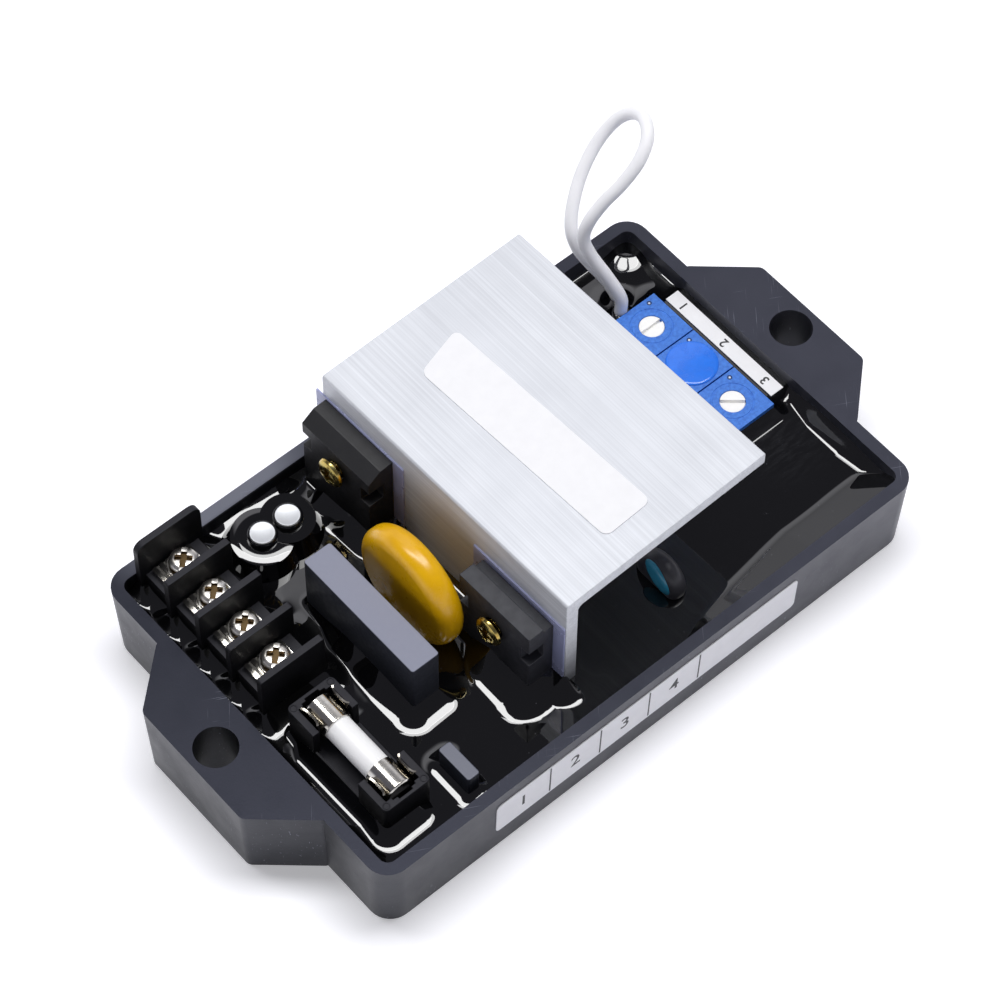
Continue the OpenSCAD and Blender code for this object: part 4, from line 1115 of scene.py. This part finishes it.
@dataclass
class Components:
    """The capacitors and the varistor."""

    edge: float = 0.2
    sleeve_edge: float = 0.12
    disc_steps: int = 20
    edge_share: float = 0.88
    coat: float = 0.25
    bare_steps: int = 24
    bare_half: Point = (0.8, 1.9, 3.4)
    bare_tilt_deg: float = -49.0
    bare_proud: float = 0.1
    bare_yz: Pair = (-20.8, 15.0)
    can_top_r: float = 2.15
    can_top_depth: float = 0.6
    can_top_rim: tuple[Pair, ...] = ((0.0, -0.12), (0.08, -0.02), (0.3, 0.0), (0.5, -0.05))

    def pill(self, diameter: float, thickness: float) -> list[Pair]:
        """The outline of a dipped disc: flat faces and a round edge.

        Args:
            diameter: The disc's diameter.
            thickness: Its thickness.

        Returns:
            Radius and height pairs.
        """
        edge = thickness / 2 * self.edge_share
        rim_r, rim_h = diameter / 2 - edge, thickness / 2 - edge
        angles = [math.pi / 2 * k / self.disc_steps for k in range(self.disc_steps + 1)]
        lower = [(rim_r + edge * math.sin(a), -rim_h - edge * math.cos(a)) for a in angles]
        return [(0.0, -thickness / 2), *lower, *((r, -h) for r, h in reversed(lower)), (0.0, thickness / 2)]

    def disc(self, name: str, node: str, coat: float = 0.0) -> Piece:
        """Build a dipped disc in the place of a solid, thicker by a coat.

        Args:
            name: The piece's name.
            node: The solid's name.
            coat: How much it grows on every side.

        Returns:
            The new object.
        """
        low, high = box_of(node)
        size, middle = high - low, (low + high) / 2
        place = (middle.x, middle.y, high.z - size.y / 2)
        return revolved(name, self.pill(size.y + 2 * coat, size.x + 2 * coat), place, Axis.X, 96)

    def disc_coat(self) -> None:
        """Coat the small disc with resin that leaves an almond of its end face bare."""
        coated = self.disc("resin_over_disc", "disc_capacitor", self.coat)
        settle(coated, Finishes.skin, "potting_resin", stands_for=False)
        arc = [math.pi * k / self.bare_steps for k in range(self.bare_steps + 1)]
        outline = [(math.sin(a), -math.cos(a)) for a in arc]
        almond = revolved("disc_bare_face", outline, (0.0, 0.0, 0.0), Axis.Z, 48)
        tilt = Matrix.Rotation(math.radians(self.bare_tilt_deg), 4, "X")
        low_x = box_of("disc_capacitor")[0].x - self.coat + self.bare_proud
        spot = Matrix.Translation(Vector((low_x, *self.bare_yz)) * MM)
        almond.data.transform(spot @ tilt @ Matrix.Diagonal((*self.bare_half, 1.0)))
        settle(almond, Finishes.teal, "disc_capacitor", stands_for=False)

    def can_top(self, side: str) -> None:
        """Close a can with its bright aluminium end, dished inside its rim.

        Args:
            side: Which of the two cans it closes.
        """
        low, high = box_of(f"electrolytic_{side}")
        middle = (low + high) / 2
        outline = ring_outline(self.can_top_r, self.can_top_depth, self.can_top_rim)
        top = revolved(f"can_top_{side}", outline, (middle.x, middle.y, high.z), Axis.Z)
        settle(top, Finishes.pressed, "heatsink", stands_for=False)

    def build(self) -> None:
        """Build and dress the parts."""
        softened("film_capacitor", self.edge, Finishes.slate)
        softened("box_capacitor", self.edge, Finishes.dark_box)
        for side in ("left", "right"):
            softened(f"electrolytic_{side}", self.sleeve_edge, Finishes.sleeve)
            self.can_top(side)
        for node, finish in (("varistor", Finishes.amber), ("disc_capacitor", Finishes.teal)):
            settle(self.disc(f"{node}_dipped", node), finish, node)
        self.disc_coat()


@dataclass
class PowerStage:
    """The heatsink, the power devices on it, their insulators and screws."""

    edge: float = 0.15
    screw_edge: float = 0.1

    def build(self) -> None:
        """Round the edges and dress the pieces."""
        softened("heatsink", self.edge, Finishes.aluminium)
        softened("power_device_rear", self.edge, Finishes.package)
        softened("power_device_front", self.edge, Finishes.grey_package)
        for place in ("rear", "front"):
            dress(f"insulator_{place}", Finishes.film)
        softened("device_screws", self.screw_edge, Finishes.zinc)


@dataclass
class Trimmers:
    """The three trimmers, one of them sealed."""

    edge: float = 0.12
    rotor_edge: float = 0.06
    lacquer_edge: float = 0.1
    mark: Pair = (2.8, 3.75)
    mark_r: float = 0.42
    mark_depth: float = 0.3
    mark_rim: tuple[Pair, ...] = ((0.0, 0.05), (0.06, 0.08), (0.16, 0.08), (0.2, -0.12))
    # Heights of the white dome of painted highlight: at its edge, brow and top
    glint_heights: Point = (-0.02, 0.06, 0.08)

    def pin_mark(self, place: str) -> None:
        """Build the ring that the ejector pin left on a housing, dark with painted shade, round a pale dome
        that is a painted highlight.

        Args:
            place: Which of the three housings has it.
        """
        node = f"trimmer_body_{place}"
        low, high = box_of(node)
        middle = (low + high) / 2
        r, depth = self.mark_r, self.mark_depth
        spot = (middle.x + self.mark[0], middle.y + self.mark[1], high.z)
        ring = revolved(f"trimmer_mark_{place}", ring_outline(r, depth, self.mark_rim), spot, Axis.Z, 32)
        settle(ring, Finishes.navy, node, stands_for=False)
        # A white dome in the ring's middle, as a painted highlight
        edge, brow, top = self.glint_heights
        dome = [(0.0, -depth), (r / 2, -depth), (r / 2, edge), (r / 4, brow), (0.0, top)]
        glint = revolved(f"trimmer_glint_{place}", dome, spot, Axis.Z, 24)
        settle(glint, Finishes.white, node, stands_for=False)

    def build(self) -> None:
        """Round the edges and dress the pieces."""
        for place in TRIMMER_PLACES:
            softened(f"trimmer_body_{place}", self.edge, Finishes.blue)
            softened(f"trimmer_rotor_{place}", self.rotor_edge, Finishes.white)
            self.pin_mark(place)
        softened("sealing_lacquer", self.lacquer_edge, Finishes.lacquer)


@dataclass
class Labels:
    """The paper labels and the plain numbers on them."""

    ink_t: float = 0.02
    side_start: float = -33.4
    side_dividers: tuple[float, ...] = (-22.5, -12.2, -2.1, 8.4)
    divider: Pair = (0.3, 7.4)
    wall_draft: Pair = (0.5, 16.0)
    side_digit: float = 4.2
    strip_digit: float = 2.3
    proud: float = 0.004
    bold: float = 0.04
    corner_r: float = 1.4
    upright_z: float = 0.9
    paper_edge: float = 0.02

    def round_corners(self, form: Form) -> None:
        """Round the upright edges of a label that lies flat, as a die cuts them.

        Args:
            form: The label's form, which is changed.
        """
        upright = [e for e in form.edges
                   if abs((e.verts[0].co - e.verts[1].co).normalized().z) > self.upright_z]
        bmesh.ops.bevel(form, geom=upright, offset=self.corner_r * MM, offset_type="OFFSET", segments=8,
                        profile=0.5, affect="EDGES")

    def digit(self, form: Form, text: str, size: float, place: Matrix) -> None:
        """Add a printed number.

        Args:
            form: The mesh that gets it.
            text: The number.
            size: Its size.
            place: Where its middle goes; it reads along X and stands along Y of this.
        """
        curve = bpy.data.curves.new("digit", "FONT")
        curve.body = text
        curve.size = size * MM
        curve.align_x = "CENTER"
        curve.align_y = "CENTER"
        curve.extrude = self.ink_t / 2 * MM
        curve.offset = self.bold * MM
        holder = link("digit", curve)
        mesh = bpy.data.meshes.new_from_object(holder.evaluated_get(bpy.context.evaluated_depsgraph_get()))
        mesh.transform(place)
        form.from_mesh(mesh)
        bpy.data.objects.remove(holder)
        bpy.data.curves.remove(curve)
        bpy.data.meshes.remove(mesh)

    def print_side(self) -> None:
        """Print cell lines and the numbers of the terminals on the front label."""
        low, high = box_of("side_label")
        lean = math.atan2(*self.wall_draft)
        face = Matrix.Translation(Vector((0.0, low.y + self.ink_t / 2 - self.proud, high.z)) * MM)
        face = face @ Matrix.Rotation(math.pi / 2 + lean, 4, "X")
        drop = -(high.z - low.z) / 2 / math.cos(lean)
        line = Matrix.Diagonal((self.divider[0] * MM, self.divider[1] * MM, self.ink_t * MM, 1.0))
        form = bmesh.new()
        for x in self.side_dividers:
            spot = Matrix.Translation(Vector((x, drop, 0.0)) * MM)
            bmesh.ops.create_cube(form, size=1.0, matrix=face @ spot @ line)
        edges = (self.side_start, *self.side_dividers)
        for k, (start, end) in enumerate(zip(edges, edges[1:])):
            spot = Matrix.Translation(Vector(((start + end) / 2, drop, 0.0)) * MM)
            self.digit(form, str(k + 1), self.side_digit, face @ spot)
        piece = make_piece("side_label_print", form, False)
        settle(piece, Finishes.ink, "side_label", stands_for=False)

    def print_strip(self) -> None:
        """Print the numbers of the trimmers on their strip, to be read from the far end."""
        low, high = box_of("trimmer_label")
        middle = (low + high) / 2
        form = bmesh.new()
        for k, place in enumerate(TRIMMER_PLACES):
            spot = Vector((middle.x, centre_of(f"trimmer_body_{place}").y, high.z + self.ink_t / 2)) * MM
            turned = Matrix.Translation(spot) @ Matrix.Rotation(math.pi / 2, 4, "Z")
            self.digit(form, str(k + 1), self.strip_digit, turned)
        piece = make_piece("trimmer_label_print", form, False)
        settle(piece, Finishes.ink, "trimmer_label", stands_for=False)

    def build(self) -> None:
        """Dress and print the labels."""
        for node in ("side_label", "trimmer_label"):
            dress(node, Finishes.paper)
        softened("heatsink_label", self.paper_edge, Finishes.paper, reform=self.round_corners)
        self.print_side()
        self.print_strip()


@dataclass
class JumperWire:
    """The white loop whose two ends go into the resin."""

    diameter: float = 2.2
    samples: int = 8
    route: tuple[Point, ...] = (
        (42.2, 21.8, 13.8), (42.2, 22, 17.5), (41, 24.2, 22), (39.6, 26.8, 26.5), (39.2, 28.2, 30),
        (40.3, 28.2, 33.5), (42.7, 27.6, 37), (45.8, 26.6, 40.5), (49, 26.4, 43.8), (51.9, 27.8, 46),
        (53.7, 30.6, 46.6), (54, 33.6, 45), (52.7, 36.1, 41.8), (49.5, 36.8, 38.2), (45.4, 35.8, 34.6),
        (41.6, 33.6, 31.2), (39.6, 31.6, 28.4), (39.6, 29.9, 25.2), (40.9, 28, 21.6), (42.6, 26, 17.8),
        (43.7, 24.2, 13.8))

    def path(self) -> list[Vector]:
        """A smooth curve through the route's points, in metres.

        Returns:
            The curve's points from end to end.
        """
        points = [Vector(p) * MM for p in self.route]
        points = [2 * points[0] - points[1], *points, 2 * points[-1] - points[-2]]
        curve = []
        for before, start, end, after in zip(points, points[1:], points[2:], points[3:]):
            for k in range(self.samples):
                t = k / self.samples
                curve.append(0.5 * (2 * start + (end - before) * t
                                    + (2 * before - 5 * start + 4 * end - after) * t ** 2
                                    + (3 * start - before - 3 * end + after) * t ** 3))
        return [*curve, points[-2]]

    def build(self) -> None:
        path = self.path()
        curve = bpy.data.curves.new("jumper_wire_loop", "CURVE")
        curve.dimensions = "3D"
        curve.bevel_depth = self.diameter / 2 * MM
        curve.bevel_resolution = 6
        curve.use_fill_caps = True
        spline = curve.splines.new("POLY")
        spline.points.add(len(path) - 1)
        for point, place in zip(spline.points, path):
            point.co = (*place, 1.0)
        spline.use_smooth = True
        piece = link("jumper_wire_loop", curve)
        settle(piece, Finishes.silicone, "jumper_wire")


@dataclass
class Studio:
    """The camera at the photograph's place, soft light and a plain white floor."""

    camera_at: Point = (-209.487, -235.590, 516.453)
    aim: Point = (2.03, 5.69, 16.0)
    roll_deg: float = 0.528
    lens: float = 134.88
    sensor: float = 36.0
    nearest: float = 10.0
    floor_half: float = 6000.0
    floor_z: float = -0.05
    floor_colour: str = "#f8f8fd"
    floor_glow: float = 0.31
    backdrop_way: Point = (-0.128, 0.912, -0.390)
    backdrop_edge: Pair = (-0.012, 0.03)
    backdrop_from_x: Pair = (0.08, 0.2)
    room_colour: Colour = (0.11, 0.11, 0.13, 1.0)
    horizon_colour: Colour = (0.8, 0.8, 0.85, 1.0)
    horizon_z: Pair = (0.22, 0.45)
    backdrop_colour: Colour = (1.15, 1.15, 1.22, 1.0)
    backdrop_low_colour: Colour = (0.6, 0.6, 0.64, 1.0)
    backdrop_z: Pair = (0.45, 0.75)
    softboxes: tuple[tuple[Point, Pair, float], ...] = (
        ((36.0, 79.0, 700.0), (700.0, 161.0), 3.6), ((214.0, 60.0, 700.0), (420.0, 70.0), 0.7))
    softbox_along: Point = (-1.0, 1.0, 0.0)

    def camera(self) -> None:
        """Set the camera."""
        data = bpy.data.cameras.new("camera")
        data.lens = self.lens
        data.sensor_width = self.sensor
        data.clip_start = self.nearest * MM
        camera = link("camera", data)
        place = Vector(self.camera_at) * MM
        look = (Vector(self.aim) * MM - place).to_track_quat("-Z", "Y").to_matrix().to_4x4()
        roll = Matrix.Rotation(math.radians(self.roll_deg), 4, "Z")
        camera.matrix_world = Matrix.Translation(place) @ look @ roll
        bpy.context.scene.camera = camera

    def floor(self) -> None:
        """Lay the floor, which keeps the shadow and is white to the camera, mirrors and glass."""
        mesh = bpy.data.meshes.new("floor")
        half = self.floor_half * MM
        corners = [(-half, -half, 0), (half, -half, 0), (half, half, 0), (-half, half, 0)]
        mesh.from_pydata(corners, [], [(0, 1, 2, 3)])
        piece = link("floor", mesh)
        piece.location.z = self.floor_z * MM
        material = bpy.data.materials.new("floor_paper_white")
        canvas = Canvas(material)
        matt = canvas.add_node("BsdfDiffuse", (srgb(self.floor_colour),))
        glow = canvas.add_node("Emission", (WHITE, self.floor_glow))
        both = canvas.add_node("AddShader", (matt, glow))
        ray = canvas.add_node("LightPath").node.outputs
        seen = ray["Is Camera Ray"]
        for kind in ("Is Glossy Ray", "Is Transmission Ray"):
            seen = canvas.add_node("Math", (seen, ray[kind]), operation="MAXIMUM")
        canvas.add_node("OutputMaterial", (canvas.add_node("MixShader", (seen, matt, both)),))
        mesh.materials.append(material)

    def softbox(self, name: str, place: Point, size: Pair, power: float) -> None:
        """Hang a long softbox over the part; its edge shows in every rise of the resin.

        Args:
            name: Its name.
            place: Its middle.
            size: Its length and width.
            power: Its power in watts.
        """
        data = bpy.data.lights.new(name, "AREA")
        data.shape = "RECTANGLE"
        data.size, data.size_y = (v * MM for v in size)
        data.energy = power
        up = (Vector(place) - Vector(self.aim)).normalized()
        along = Vector(self.softbox_along)
        along = (along - along.dot(up) * up).normalized()
        turn = Matrix((along, up.cross(along), up)).transposed().to_4x4()
        link(name, data).matrix_world = Matrix.Translation(Vector(place) * MM) @ turn

    def world(self) -> None:
        """Fill from a room with a dark ceiling, a pale horizon and a bright backdrop behind the part."""
        world = bpy.data.worlds.new("studio")
        bpy.context.scene.world = world
        canvas = Canvas(world, "Generated")
        vectors = canvas.place, self.backdrop_way
        side = canvas.add_node("VectorMath", vectors, "Value", operation="DOT_PRODUCT")
        way = canvas.add_node("SeparateXYZ", (canvas.place,)).node.outputs
        share = canvas.add_node("MapRange", (side, *self.backdrop_edge))
        part = canvas.add_node("MapRange", (way["X"], *self.backdrop_from_x))
        behind = canvas.add_node("Math", (share, part), operation="MULTIPLY")
        mixed = {0: behind}
        for key, limits, low, high in (
                (MIX_FIRST, self.horizon_z, self.horizon_colour, self.room_colour),
                (MIX_SECOND, self.backdrop_z, self.backdrop_low_colour, self.backdrop_colour)):
            rise = canvas.add_node("MapRange", (way["Z"], *limits))
            tones = {0: rise, MIX_FIRST: low, MIX_SECOND: high}
            mixed[key] = canvas.add_node("Mix", tones, MIX_OUT, data_type="RGBA")
        room = canvas.add_node("Mix", mixed, MIX_OUT, data_type="RGBA")
        fill, white = (canvas.add_node("Background", (colour, 1.0)) for colour in (room, WHITE))
        seen = canvas.add_node("LightPath", (), "Is Camera Ray")
        canvas.add_node("OutputWorld", (canvas.add_node("MixShader", (seen, fill, white)),))

    def build(self) -> None:
        """Set up the studio."""
        bpy.context.scene.view_settings.view_transform = "Standard"
        self.camera()
        self.floor()
        self.world()
        for k, (place, size, power) in enumerate(self.softboxes):
            self.softbox(f"softbox_{k + 1}", place, size, power)


def main() -> None:
    """Build the studio and every piece."""
    logging.basicConfig(level=logging.INFO, format="%(name)s: %(message)s")
    Studio().build()
    JumperWire().build()
    for group in (Tray, Resin, TerminalBlock, FuseSet, Components, PowerStage, Trimmers, Labels):
        group().build()


if __name__ == "__main__":
    main()
